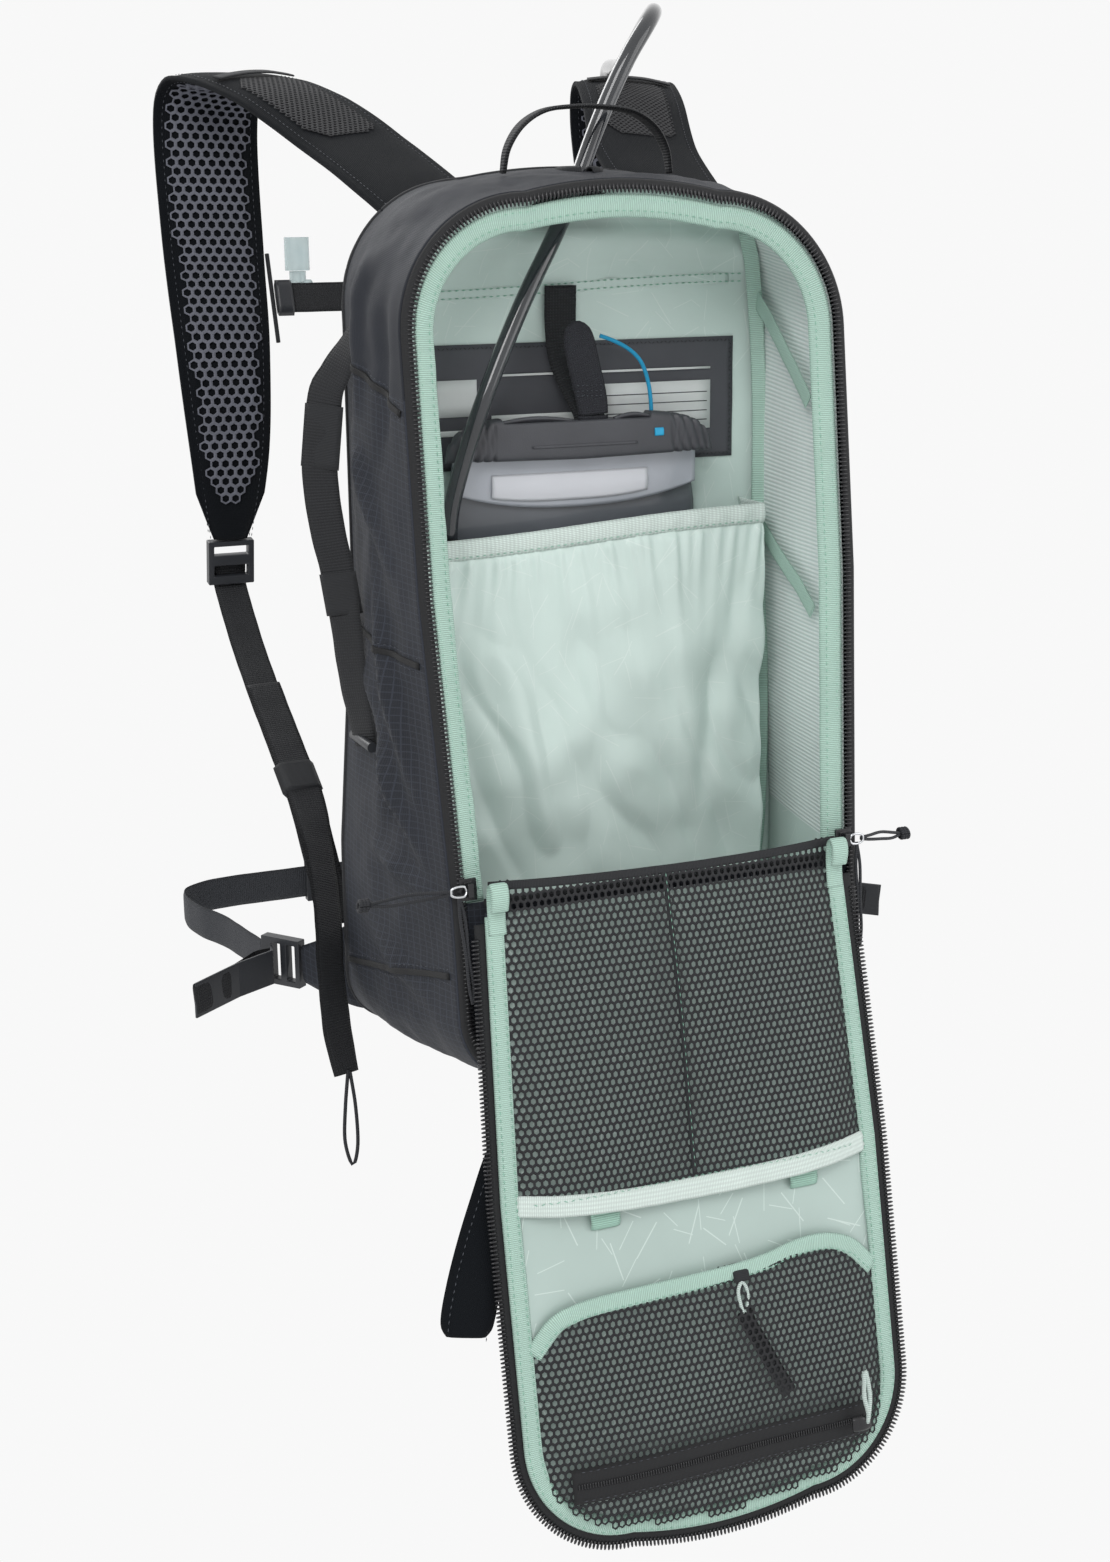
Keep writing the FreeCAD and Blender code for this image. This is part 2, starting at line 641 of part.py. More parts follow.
def make_shoulders():
    webbings = []
    meshes = []
    keepers = []
    strap = ribbon(STRAP_LINE, STRAP_WIDTHS, STRAP_THICK)
    y, z = STERNUM
    rail = mirror(lean(rod((STERNUM_RAIL_X, y, z - 29), (STERNUM_RAIL_X, y, z + 29), RAIL)))
    mesh_offset = (STRAP_THICK + MESH_THICK) / 2 + MESH_GAP
    mesh_widths = [w - MESH_BORDER for w in STRAP_WIDTHS]
    mesh = ribbon(STRAP_LINE, mesh_widths, MESH_THICK, X_AXIS, mesh_offset, slice(1, -1))
    webbing = ribbon(WEBBING_LINE, WEB, WEB_THICK)
    tail = ribbon(TAIL_LINE, [WEB, WEB, WEB, WEB, WEB, 14.0], WEB_THICK)
    tail_end = TAIL_LINE[-1]
    loop = ribbon([tail_end, (tail_end[0] + 1, tail_end[1] - 12, tail_end[2] - 48)], 7.0, 1.6).cut(tail)
    for side, flip in (("left", same), ("right", mirror)):
        save("shoulder_strap_" + side, flip(strap), flip(rail))
        save("strap_lock_" + side, flip(make_strap_lock()))
        meshes.append(flip(mesh))
        webbings += [flip(webbing), flip(tail), flip(loop)]
        keepers.append(flip(make_keeper()))
    save("strap_meshes", *meshes)
    save("strap_webbings", *webbings)
    save("strap_keepers", *keepers)


def lean(shape):
    """Turn an upright sternum piece to the lean of the shoulder strap."""
    y, z = STERNUM
    leaning = shape.copy()
    leaning.rotate(V(0, y, z), X_AXIS, -STERNUM_LEAN)
    return leaning


def side_buckle(length, height, thick, web, web_thick):
    """Side-release buckle along X about the origin: female to -X, male to +X with a rear webbing slot."""
    wall = 1.5
    half = height / 2
    female = box((-length, -thick / 2, -half), (0, thick / 2, half))
    cavity = box((-length + 6, -thick / 2 + wall, -half + wall), (0, thick / 2 - wall, half - wall))
    female = female.cut(cavity)
    gap = RUN_GAP
    tongue = box((-length + 9, -thick / 2 + wall + gap, -half + wall + gap),
                 (0.6, thick / 2 - wall - gap, half - wall - gap))
    forks = box((-length + 8, -thick, -half * 0.45), (-3, thick, half * 0.45))
    base = box((0.6, -thick / 2, -half), (length, thick / 2, half))
    slot_depth = length - 3.0
    slot = box((length - slot_depth, -web_thick / 2 - gap, -web / 2 - gap),
               (length, web_thick / 2 + gap, web / 2 + gap))
    male = tongue.cut(forks).fuse(base).cut(slot)
    return female, male


def make_sternum():
    y, z = STERNUM
    length, height, thick = STERNUM_BUCKLE
    female, male = side_buckle(length, height, thick, STERNUM_WEB, WEB_THICK)
    for name, shape in (("sternum_buckle_female", female), ("sternum_buckle_male", male)):
        shape.translate(V(0, y, z))
        save(name, lean(shape))
    clip_end = STERNUM_RAIL_X - RAIL - RUN_GAP
    clip_start = clip_end - 7.0
    left = ribbon([(-clip_start, y, z), (-length, y, z)], STERNUM_WEB, WEB_THICK, Z_AXIS)
    right = ribbon([(length - RUN_GAP, y, z), (clip_start, y, z)], STERNUM_WEB, WEB_THICK, Z_AXIS)
    clip = lean(box((clip_start, y - 3.5, z - 11), (clip_end, y + 3.5, z + 11)))
    save("sternum_strap_left", lean(left), mirror(clip))
    save("sternum_strap_right", lean(right), clip)


def make_side_straps():
    strap = ribbon(SIDE_STRAP_LINE, WEB, WEB_THICK, Y_AXIS)
    save("side_straps", strap, mirror(strap))
    x, y, z = SIDE_STRAP_LINE[-1]
    x -= WEB_THICK / 2 + RUN_GAP + TOGGLE
    bar = rod((x, y - 16, z + 3), (x, y + 16, z + 3), TOGGLE)
    save("toggle_bar_left", bar)
    save("toggle_bar_right", mirror(bar))


def along_belt(distance, offset=0.0, z=WAIST_Z):
    x = FIN_END[0] + BELT_DIR[0] * distance - BELT_DIR[1] * offset
    y = FIN_END[1] + BELT_DIR[1] * distance + BELT_DIR[0] * offset
    return (x, y, z)


def make_waist(side, flip):
    fin_y = BACK_Y + 2.3
    fin = ribbon([(-98, fin_y, WAIST_Z + 8), (-122, fin_y, WAIST_Z + 5), along_belt(-LOCK_GAP)],
                 [60.0, 52.0, 24.0], 4.0, Z_AXIS)
    lock = box((-3, 0, -14), (3, WAIST_LOCK, 14))
    for low, high in ((3, 9), (13, 19)):
        lock = lock.cut(box((-4, low, -10.6), (4, high, 10.6)))
    lock.rotate(V(0, 0, 0), Z_AXIS, math.degrees(math.atan2(-BELT_DIR[0], BELT_DIR[1])))
    lock.translate(V(*along_belt(0)))
    tail_line = [along_belt(18, 4.1), along_belt(12, 12)]
    tail_line += [(x, y, WAIST_Z - drop) for x, y, drop in WAIST_TAIL]
    tail = ribbon(tail_line, WEB, WEB_THICK, Z_AXIS)
    save("waist_lock_" + side, flip(lock), flip(tail))
    return flip(fin)


def make_waist_belt():
    length, height, thick = WAIST_BUCKLE
    belt_y = WAIST_LINE[-1][1]
    ring_points = [along_belt(WAIST_LOCK + 1.0)] + [(x, y, WAIST_Z) for x, y in WAIST_LINE]
    left = ribbon(ring_points + [(-length, belt_y, WAIST_Z)], WEB, WEB_THICK, Z_AXIS)
    right = mirror(ribbon(ring_points + [(-length + RUN_GAP, belt_y, WAIST_Z)], WEB, WEB_THICK, Z_AXIS))
    save("waist_strap_left", left)
    save("waist_strap_right", right)
    female, male = side_buckle(length, height, thick, WEB, WEB_THICK)
    for name, shape in (("waist_buckle_female", female), ("waist_buckle_male", male)):
        shape.translate(V(0, belt_y, WAIST_Z))
        save(name, shape)
    keeper = box((-104, belt_y - 3, WAIST_Z - 12.5), (-84, belt_y + 3, WAIST_Z + 12.5))
    hole = box((-105, belt_y - WEB_THICK / 2 - RUN_GAP, WAIST_Z - WEB / 2 - RUN_GAP),
               (-83, belt_y + WEB_THICK / 2 + RUN_GAP, WAIST_Z + WEB / 2 + RUN_GAP))
    save("waist_keeper", keeper.cut(hole))


# Main zip sliders

def make_slider(side, flip):
    """A slider on the teeth, its cord bail on a short eye, one cord led back along the side, one hanging."""
    front = -TAPE_THICK - RUN_GAP
    x = -HALF_FOLD
    face = front - SLIDER_THICK
    eye_y = face - BAIL_SWING
    eye_z = SLIDER_START + SLIDER / 2
    plate = box((x - SLIDER_HALF, face, SLIDER_START), (x + SLIDER_HALF, front, SLIDER_START + SLIDER))
    bridge_top = SLIDER_START + SLIDER - 2
    bridge = box((x - EYE_HALF, eye_y - EYE_HALF, SLIDER_START + 2), (x + EYE_HALF, face, bridge_top))
    eye = rod((x - 2, eye_y, eye_z), (x + 2, eye_y, eye_z), EYE_HOLE)
    save("zip_slider_" + side, flip(tilt(plate.fuse(bridge).cut(eye))))
    pull_x = x - EYE_HALF - RUN_GAP
    bail_x = pull_x - BAIL_LENGTH
    half = BAIL_THICK / 2
    bail = box((bail_x, eye_y - half, eye_z - BAIL_HALF), (pull_x, eye_y + half, eye_z + BAIL_HALF))
    knot_at = (bail_x - 38, eye_y + 23, eye_z - 5)
    side_cord = rod((bail_x, eye_y, eye_z - 0.5), knot_at, PULL_CORD)
    knot = Part.makeSphere(KNOT, V(*knot_at))
    hanging_end = (pull_x - 2, eye_y - 3, eye_z - HANGING_CORD)
    hanging = rod((pull_x - 4, eye_y, eye_z - 2.0), hanging_end, PULL_CORD)
    pieces = [bail, side_cord.fuse(knot).cut(bail), hanging.cut(bail)]
    save("zip_pull_" + side, *[flip(tilt(piece)) for piece in pieces])


# Fold-down front panel, drawn closed in the plane of the teeth and then hung open

def tray(low, high, open_top):
    """Flat mesh pocket on the lining, hollow, with its wide face inwards."""
    outer = slab(zip_outline(-POCKET_INSET), -POCKET_BACK, POCKET_DEPTH)
    outer = outer.common(box((-200, -1, low), (200, 100, high)))
    inner = slab(zip_outline(-POCKET_INSET - POCKET_WALL), -POCKET_BACK, POCKET_DEPTH - POCKET_WALL)
    top = high + 1 if open_top else high - POCKET_WALL
    inner = inner.common(box((-200, -1, low + POCKET_WALL), (200, 100, top)))
    return outer.cut(inner)


def make_flap():
    panel = slab(zip_outline(-FLAP_TAPE), FLAP_GAP + FLAP_THICK, FLAP_THICK)
    save("flap_panel", open_flap(above(panel, FLAP_START)))
    lining = slab(zip_outline(-FLAP_TAPE - 1), FLAP_GAP, FLAP_GAP + POCKET_BACK)
    save("flap_lining", open_flap(above(lining, FLAP_START)))
    tape = ring(-TEETH, -FLAP_TAPE, TAPE_THICK, TAPE_THICK - 0.1)
    save("zip_tape_flap", open_flap(above(tape, FLAP_TAPE_START)))
    binding = ring(-FLAP_TAPE + 3, -POCKET_INSET + 0.5, -POCKET_BACK, 1.0)
    save("flap_binding", open_flap(above(binding, FLAP_TAPE_START)))


def pocket_face():
    return POCKET_BACK + POCKET_DEPTH


def make_pockets():
    seam_low = (SEAM_LINE - SEAM_HALF, POCKET_BACK, FLAP_START + 3)
    seam_high = (SEAM_LINE + SEAM_HALF, pocket_face() - 0.5, UPPER_POCKET_END)
    upper = tray(FLAP_START + 2, UPPER_POCKET_END, True)
    save("upper_mesh_pocket", open_flap(upper.fuse(box(seam_low, seam_high))))
    save("lower_mesh_pocket", open_flap(tray(LOWER_POCKET_START, OPEN_HEIGHT, False)))
    face = pocket_face()
    half = HALF_MID - POCKET_INSET
    elastic_top = UPPER_POCKET_END + ELASTIC
    elastic = box((-half, face - POCKET_WALL, UPPER_POCKET_END), (half, face + 0.4, elastic_top))
    edge_zone = box((-200, 0, LOWER_POCKET_START), (200, 100, LOWER_POCKET_START + EDGE_BINDING))
    edge = slab(zip_outline(-POCKET_INSET), -face, 1.0).common(edge_zone)
    zip_low = POCKET_ZIP - POCKET_ZIP_BAND / 2
    band = box((-ZIP_HALF, face, zip_low), (ZIP_HALF, face + 1.0, zip_low + POCKET_ZIP_BAND))
    save("pocket_bindings", open_flap(elastic), open_flap(edge), open_flap(band))


def make_pocket_slider():
    y = pocket_face() + 1.0 + RUN_GAP
    slider = box((ZIP_HALF - 14, y, POCKET_ZIP - 4), (ZIP_HALF - 3, y + 3, POCKET_ZIP + 4))
    cord = rod((ZIP_HALF - 5, y + 1.5, POCKET_ZIP - 4), (ZIP_HALF - 4, y + 1.5, POCKET_ZIP - 30), PULL_CORD)
    save("pocket_zip_slider", open_flap(slider), open_flap(cord.cut(slider)))


def make_key_clip():
    mid_y = POCKET_BACK + POCKET_DEPTH / 2
    line = [(KEY_X, mid_y, KEY_Z + 16), (KEY_X + 8, mid_y, KEY_Z + 34), (KEY_X + 22, mid_y, KEY_Z + 64)]
    strap = ribbon(line, 10.0, 2.0, V(1, 0, -0.4))
    cord = rod((KEY_X, mid_y, KEY_Z + RUN_GAP), line[0], 1.6)
    save("key_clip", open_flap(strap.fuse(cord)))
    low = (KEY_X - 5, POCKET_BACK, KEY_Z - 5)
    anchor = box(low, (KEY_X + 5, pocket_face() - POCKET_WALL, KEY_Z))
    tabs = []
    for x, z in FLAP_TABS:
        tabs.append(box((x - 8, POCKET_BACK, z), (x + 8, POCKET_BACK + 1.2, z + 11)))
    save("webbing_tabs", *[open_flap(piece) for piece in tabs + [anchor]])


def make_gear_tab():
    outer_y = -FLAP_GAP - FLAP_THICK
    line = [(x, outer_y - out, z) for x, out, z in GEAR_TAB_LINE]
    save("gear_tab", open_flap(ribbon(line, GEAR_TAB_WIDTHS, 3.0, V(1, 0, 0.6))))


def write_all():
    make_shell()
    make_back_pads()
    make_linings()
    make_inner_trim()
    make_sleeve()
    make_reservoir()
    make_hanger()
    make_hose()
    make_haul_loop()
    make_shoulders()
    make_sternum()
    make_side_straps()
    make_waist_belt()
    save("hip_fins", make_waist("left", same), make_waist("right", mirror))
    make_slider("left", same)
    make_slider("right", mirror)
    make_flap()
    make_pockets()
    make_pocket_slider()
    make_key_clip()
    make_gear_tab()


write_all()
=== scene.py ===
# %% [markdown]
# # A hydration pack, hung up with its front panel open
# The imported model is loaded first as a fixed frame. Its bodies and joints say where each piece
# goes, so this script only adds shape and finish around them. Everything is in metres.

# %% Load the frame
import json
import math

import bpy
import numpy as np
from mathutils import Matrix, Vector, noise


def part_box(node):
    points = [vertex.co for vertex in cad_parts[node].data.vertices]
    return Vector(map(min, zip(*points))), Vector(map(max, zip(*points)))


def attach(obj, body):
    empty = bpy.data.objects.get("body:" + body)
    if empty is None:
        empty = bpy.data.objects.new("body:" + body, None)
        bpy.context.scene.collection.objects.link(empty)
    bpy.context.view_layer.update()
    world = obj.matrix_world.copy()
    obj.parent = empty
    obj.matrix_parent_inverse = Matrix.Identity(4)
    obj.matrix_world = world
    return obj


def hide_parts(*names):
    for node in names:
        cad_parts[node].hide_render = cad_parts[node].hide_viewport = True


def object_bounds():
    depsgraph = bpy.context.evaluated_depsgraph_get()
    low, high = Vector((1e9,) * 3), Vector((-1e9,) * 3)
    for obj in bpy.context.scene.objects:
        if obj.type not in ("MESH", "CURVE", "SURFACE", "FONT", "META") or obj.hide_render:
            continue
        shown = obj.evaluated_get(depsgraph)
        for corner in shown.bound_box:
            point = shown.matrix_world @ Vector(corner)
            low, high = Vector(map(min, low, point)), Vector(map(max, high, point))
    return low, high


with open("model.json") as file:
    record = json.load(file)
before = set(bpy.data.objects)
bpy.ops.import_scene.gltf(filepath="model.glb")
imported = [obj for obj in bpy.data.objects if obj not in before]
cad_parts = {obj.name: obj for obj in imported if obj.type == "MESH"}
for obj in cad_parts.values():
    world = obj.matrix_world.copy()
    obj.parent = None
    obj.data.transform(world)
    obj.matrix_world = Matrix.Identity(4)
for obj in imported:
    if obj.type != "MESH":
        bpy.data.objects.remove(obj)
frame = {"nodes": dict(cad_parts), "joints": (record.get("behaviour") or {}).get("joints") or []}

CAD_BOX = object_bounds()
print("frame box", [[round(c, 3) for c in corner] for corner in CAD_BOX])

# %% [markdown]
# The bag is drawn about the middle of its fold line, where the front panel turns. That line is
# the axis of the flap_fold joint, so its place is read from the frame and not typed in.
# Sizes below are in millimetres, because a pack is cut and sewn in millimetres.

# %% Where the fold line is
MM = 0.001
JOINTS = {joint["name"]: joint for joint in frame["joints"]}
FLAP_AXIS = 4.0                      # fold axis in front of the opening plane
LEAN = math.radians(7.7)             # lean of the opening plane
FLAP_TURN = math.radians(175.0)      # front panel, from closed to hanging
FOLD = np.array(JOINTS["flap_fold"]["pos_m"]) / MM - np.array(
    (0, -FLAP_AXIS * math.cos(LEAN), FLAP_AXIS * math.sin(LEAN)))


def row(points):
    """Millimetres about the fold line to metres in the frame."""
    return (np.asarray(points, dtype=float) + FOLD) * MM


def leaning(points):
    """(across, outward, up) in the opening's own plane to upright millimetres."""
    points = np.asarray(points, dtype=float)
    x, out, up = points[..., 0], points[..., 1], points[..., 2]
    y = -out * math.cos(LEAN) + up * math.sin(LEAN)
    z = out * math.sin(LEAN) + up * math.cos(LEAN)
    return np.stack([x, y, z], axis=-1)


def hanging(points):
    """The same three sizes on the closed front panel, to where it hangs open."""
    points = np.asarray(points, dtype=float)
    x, out, up = points[..., 0], points[..., 1], points[..., 2]
    y = FLAP_AXIS - out
    turned_y = y * math.cos(FLAP_TURN) - up * math.sin(FLAP_TURN) - FLAP_AXIS
    turned_z = y * math.sin(FLAP_TURN) + up * math.cos(FLAP_TURN)
    return leaning(np.stack([x, -turned_y, turned_z], axis=-1))


print("fold line at", [round(c * MM, 4) for c in FOLD])

# %% [markdown]
# The camera stands a little to the left of the pack and above it. It is built from its own
# forward, right and up directions, which is easier to reason about than three angles.

# %% Camera
CAMERA_FROM_FOLD = (-440.2, -933.7, 329.1)
YAW = 0.3886
PITCH = 0.2631
ROLL = -0.0099
LENS = 48.68
SENSOR = 36.0


def aim(yaw, pitch, roll):
    """Right, up and back directions of a camera that looks along +Y when all three are 0."""
    forward = Vector((math.sin(yaw) * math.cos(pitch), math.cos(yaw) * math.cos(pitch), -math.sin(pitch)))
    right = Vector((math.cos(yaw), -math.sin(yaw), 0.0))
    up = right.cross(forward)
    rolled_right = right * math.cos(roll) + up * math.sin(roll)
    rolled_up = up * math.cos(roll) - right * math.sin(roll)
    return rolled_right, rolled_up, -forward


camera_data = bpy.data.cameras.new("camera")
camera_data.sensor_fit = "VERTICAL"
camera_data.sensor_height = SENSOR
camera_data.lens = LENS
camera_data.clip_start = 0.01
camera = bpy.data.objects.new("camera", camera_data)
bpy.context.scene.collection.objects.link(camera)
right, up, back = aim(YAW, PITCH, ROLL)
stand = Vector(row(CAMERA_FROM_FOLD))
camera.matrix_world = Matrix((
    (right.x, up.x, back.x, stand.x),
    (right.y, up.y, back.y, stand.y),
    (right.z, up.z, back.z, stand.z),
    (0.0, 0.0, 0.0, 1.0),
))
bpy.context.scene.camera = camera

# %% [markdown]
# A plain pale studio. The backdrop and the world are white only where the camera, a
# reflection or a see-through film looks at them, so the light on the pack stays soft and plain.

# %% Studio
FLOOR_DROP = 0.02
FLOOR_SIZE = 6.0
PALE = (0.93, 0.93, 0.93, 1.0)


def seen_white(tree, plain_shader, output_socket):
    """Shows plain white to camera, glossy and transmission rays, and plain_shader to the rest."""
    path = tree.nodes.new("ShaderNodeLightPath")
    either = tree.nodes.new("ShaderNodeMath")
    either.operation = "MAXIMUM"
    any_of = tree.nodes.new("ShaderNodeMath")
    any_of.operation = "MAXIMUM"
    tree.links.new(path.outputs["Is Camera Ray"], either.inputs[0])
    tree.links.new(path.outputs["Is Glossy Ray"], either.inputs[1])
    tree.links.new(either.outputs[0], any_of.inputs[0])
    tree.links.new(path.outputs["Is Transmission Ray"], any_of.inputs[1])
    mix = tree.nodes.new("ShaderNodeMixShader")
    tree.links.new(any_of.outputs[0], mix.inputs[0])
    tree.links.new(plain_shader, mix.inputs[1])
    tree.links.new(mix.outputs[0], output_socket)
    return mix.inputs[2]


WORLD_LIGHT = 0.6
BACKGROUND_WHITE = (0.94, 0.94, 0.94, 1.0)
world = bpy.data.worlds.new("studio")
bpy.context.scene.world = world
world.use_nodes = True
ambient = world.node_tree.nodes["Background"]
ambient.inputs["Color"].default_value = (1.0, 1.0, 1.0, 1.0)
ambient.inputs["Strength"].default_value = WORLD_LIGHT
bright = world.node_tree.nodes.new("ShaderNodeBackground")
bright.inputs["Color"].default_value = BACKGROUND_WHITE
surface = world.node_tree.nodes["World Output"].inputs["Surface"]
world.node_tree.links.new(bright.outputs[0], seen_white(world.node_tree, ambient.outputs[0], surface))

floor_mat = bpy.data.materials.new("pale_floor")
floor_mat.use_nodes = True
floor_tree = floor_mat.node_tree
matte = floor_tree.nodes.new("ShaderNodeBsdfDiffuse")
matte.inputs["Color"].default_value = PALE
glow = floor_tree.nodes.new("ShaderNodeEmission")
glow.inputs["Color"].default_value = BACKGROUND_WHITE
floor_out = floor_tree.nodes["Material Output"].inputs["Surface"]
floor_tree.links.new(glow.outputs[0], seen_white(floor_tree, matte.outputs[0], floor_out))

bpy.ops.mesh.primitive_plane_add(size=FLOOR_SIZE, location=(0.0, 0.0, CAD_BOX[0][2] - FLOOR_DROP))
floor = bpy.context.object
floor.name = "studio_floor"
floor.data.materials.append(floor_mat)


def soft_lamp(name, place, target, size, power):
    """A square lamp that looks from one point to another."""
    data = bpy.data.lights.new(name, "AREA")
    data.size = size
    data.energy = power
    lamp = bpy.data.objects.new(name, data)
    bpy.context.scene.collection.objects.link(lamp)
    lamp.location = place
    lamp.rotation_euler = (Vector(target) - Vector(place)).to_track_quat("-Z", "Y").to_euler()
    return lamp


MIDDLE = (0.0, -0.05, -0.35)
soft_lamp("key_lamp", (-1.2, -1.7, 1.3), MIDDLE, 1.2, 26.0)
soft_lamp("fill_lamp", (1.7, -1.3, 0.3), MIDDLE, 1.6, 12.0)
soft_lamp("rim_lamp", (-0.6, 1.8, 1.0), MIDDLE, 1.2, 18.0)
bpy.context.scene.view_settings.view_transform = "Standard"
print("studio floor", FLOOR_DROP, "below the pack")

# %% [markdown]
# ## Mesh helpers
# Almost everything on a pack is cloth: a grid of points bent over a shape. One helper turns a
# grid into a mesh and stores how far each point is along and across the cloth, in metres. The
# weaves read that, so a thread has the same size on every piece.

# %% Grids and tubes as meshes
def new_piece(name, verts, faces, uvs, finish, smooth=True):
    """A mesh object from points in the frame, with one finish and one map of cloth sizes."""
    mesh = bpy.data.meshes.new(name)
    mesh.from_pydata([tuple(v) for v in verts], [], [tuple(f) for f in faces])
    if uvs is not None:
        layer = mesh.uv_layers.new(name="cloth")
        corner = np.zeros(len(mesh.loops), dtype=np.int64)
        mesh.loops.foreach_get("vertex_index", corner)
        layer.data.foreach_set("uv", np.asarray(uvs, dtype=float)[corner].ravel())
    mesh.polygons.foreach_set("use_smooth", [smooth] * len(mesh.polygons))
    mesh.materials.append(finish)
    mesh.update()
    piece = bpy.data.objects.new(name, mesh)
    bpy.context.scene.collection.objects.link(piece)
    return piece


def run_length(points):
    """Distance along a line of points, from 0, in metres of cloth."""
    steps = np.linalg.norm(np.diff(points, axis=0), axis=1)
    return np.concatenate([[0.0], np.cumsum(steps)]) * MM


def grid_faces(rows, cols, wrap=False):
    i, j = np.meshgrid(np.arange(rows - 1), np.arange(cols if wrap else cols - 1), indexing="ij")
    k = (j + 1) % cols
    return np.stack([i * cols + j, i * cols + k, (i + 1) * cols + k, (i + 1) * cols + j], axis=-1).reshape(-1,
                                                                                                           4)


def cloth(name, grid, finish, thick=0.0, offset=0.0, flip=False):
    """A sheet from a grid of points (rows, columns, 3) in millimetres, with thickness if wanted."""
    rows, cols = grid.shape[:2]
    along = run_length(grid[:, cols // 2])
    across = run_length(grid[rows // 2])
    uvs = np.stack(np.meshgrid(across, along), axis=-1).reshape(-1, 2)
    faces = grid_faces(rows, cols)
    if flip:
        faces = faces[:, ::-1]
    piece = new_piece(name, row(grid.reshape(-1, 3)), faces, uvs, finish)
    if thick:
        solidify(piece, thick, offset)
    return piece


def solidify(piece, thick, offset=0.0):
    layer = piece.modifiers.new("thickness", "SOLIDIFY")
    layer.thickness = thick * MM
    layer.offset = offset
    layer.use_even_offset = False
    return piece


def smooth_line(points, step=3.0):
    """Evenly spaced points on a Catmull-Rom line through a few chosen ones. Extra columns ride along."""
    pts = np.asarray(points, dtype=float)
    ends = np.vstack([2 * pts[0] - pts[1], pts, 2 * pts[-1] - pts[-2]])
    fine = []
    for a, b, c, d in zip(ends, ends[1:], ends[2:], ends[3:]):
        count = max(int(np.linalg.norm(c[:3] - b[:3]) / step * 3), 4)
        t = np.linspace(0, 1, count, endpoint=False)[:, None]
        fine.append(0.5 * (2 * b + (c - a) * t + (2 * a - 5 * b + 4 * c - d) * t ** 2
                           + (3 * b - a - 3 * c + d) * t ** 3))
    fine = np.vstack(fine + [pts[-1:]])
    reach = run_length(fine[:, :3]) / MM
    spots = np.linspace(0, reach[-1], max(int(reach[-1] / step), 2) + 1)
    return np.stack([np.interp(spots, reach, fine[:, k]) for k in range(fine.shape[1])], axis=-1)


def unit(vectors):
    return vectors / np.maximum(np.linalg.norm(vectors, axis=-1, keepdims=True), 1e-9)


def rails(line, across):
    """Tangent, across and outward directions at each point of a line."""
    tangent = unit(np.gradient(line, axis=0))
    across = np.broadcast_to(np.asarray(across, dtype=float), line.shape)
    normal = unit(np.cross(tangent, across))
    return tangent, unit(np.cross(normal, tangent)), normal


def strap(name, points, width, thick, finish, across=(1.0, 0.0, 0.0), step=3.0, crown=0.0, flip=1.0,
          waves=0.0):
    """Webbing or padding: a flat section with rounded edges, swept along a smooth line.

    across may be one direction or one per point. crown swells the middle of a padded strap."""
    pts = np.asarray(points, dtype=float)
    across = np.broadcast_to(np.asarray(across, dtype=float), pts.shape)
    widths = np.broadcast_to(np.asarray(width, dtype=float), (len(pts),))
    packed = smooth_line(np.column_stack([pts, across, widths]), step)
    line, widths = packed[:, :3] * (flip, 1, 1), packed[:, 6]
    tangent, side, normal = rails(line, packed[:, 3:6] * (flip, 1, 1))
    shares = np.concatenate([np.linspace(-1, 1, 9), np.linspace(1, -1, 9)])
    sign = np.concatenate([np.ones(9), -np.ones(9)])
    edge = np.sqrt(np.clip(1 - np.abs(shares) ** 6, 0, 1)) * (thick / 2)
    swell = crown * (1 - shares ** 2) * (sign > 0)
    ring = [(s, g * e + w) for s, g, e, w in zip(shares, sign, edge, swell)]
    reach = run_length(line)
    ripple = waves * np.sin(reach / MM / 11.0) * np.sin(reach / MM / 4.3)
    verts = np.stack([line + side * (widths / 2 * s)[:, None] + normal * (h + ripple)[:, None]
                      for s, h in ring], axis=1)
    count = verts.shape[1]
    uvs = [((s + 1) / 2 * w * MM, r) for w, r in zip(widths, reach) for s, _ in ring]
    faces = [list(f) for f in grid_faces(len(line), count, wrap=True)]
    faces += [list(range(count))[::-1], [(len(line) - 1) * count + k for k in range(count)]]
    return new_piece(name, row(verts.reshape(-1, 3)), faces, uvs, finish)


def cord_mesh(name, points, thick, finish, step=2.5, turns=10):
    """A thin round cord or thread along a smooth line."""
    line = smooth_line(points, step)
    start_across = (0.3, 0.2, 1.0) if abs(line[-1][0] - line[0][0]) > 5 else (1.0, 0.2, 0.1)
    tangent, side, normal = rails(line, start_across)
    angles = np.linspace(0, 2 * math.pi, turns, endpoint=False)
    verts = np.stack([line + side * math.cos(a) * thick / 2 + normal * math.sin(a) * thick / 2
                      for a in angles], axis=1)
    reach = run_length(line)
    uvs = [(a / (2 * math.pi) * thick * 3 * MM, r) for r in reach for a in angles]
    faces = [list(f) for f in grid_faces(len(line), turns, wrap=True)]
    faces += [list(range(turns))[::-1], [(len(line) - 1) * turns + k for k in range(turns)]]
    return new_piece(name, row(verts.reshape(-1, 3)), faces, uvs, finish)


# %% [markdown]
# Stitches and zip teeth are many copies of one tiny solid set along a line. They are made in one
# mesh each, because hundreds of separate objects would be slow.

# %% Stitches and teeth
STITCH = 2.6
STITCH_GAP = 1.2


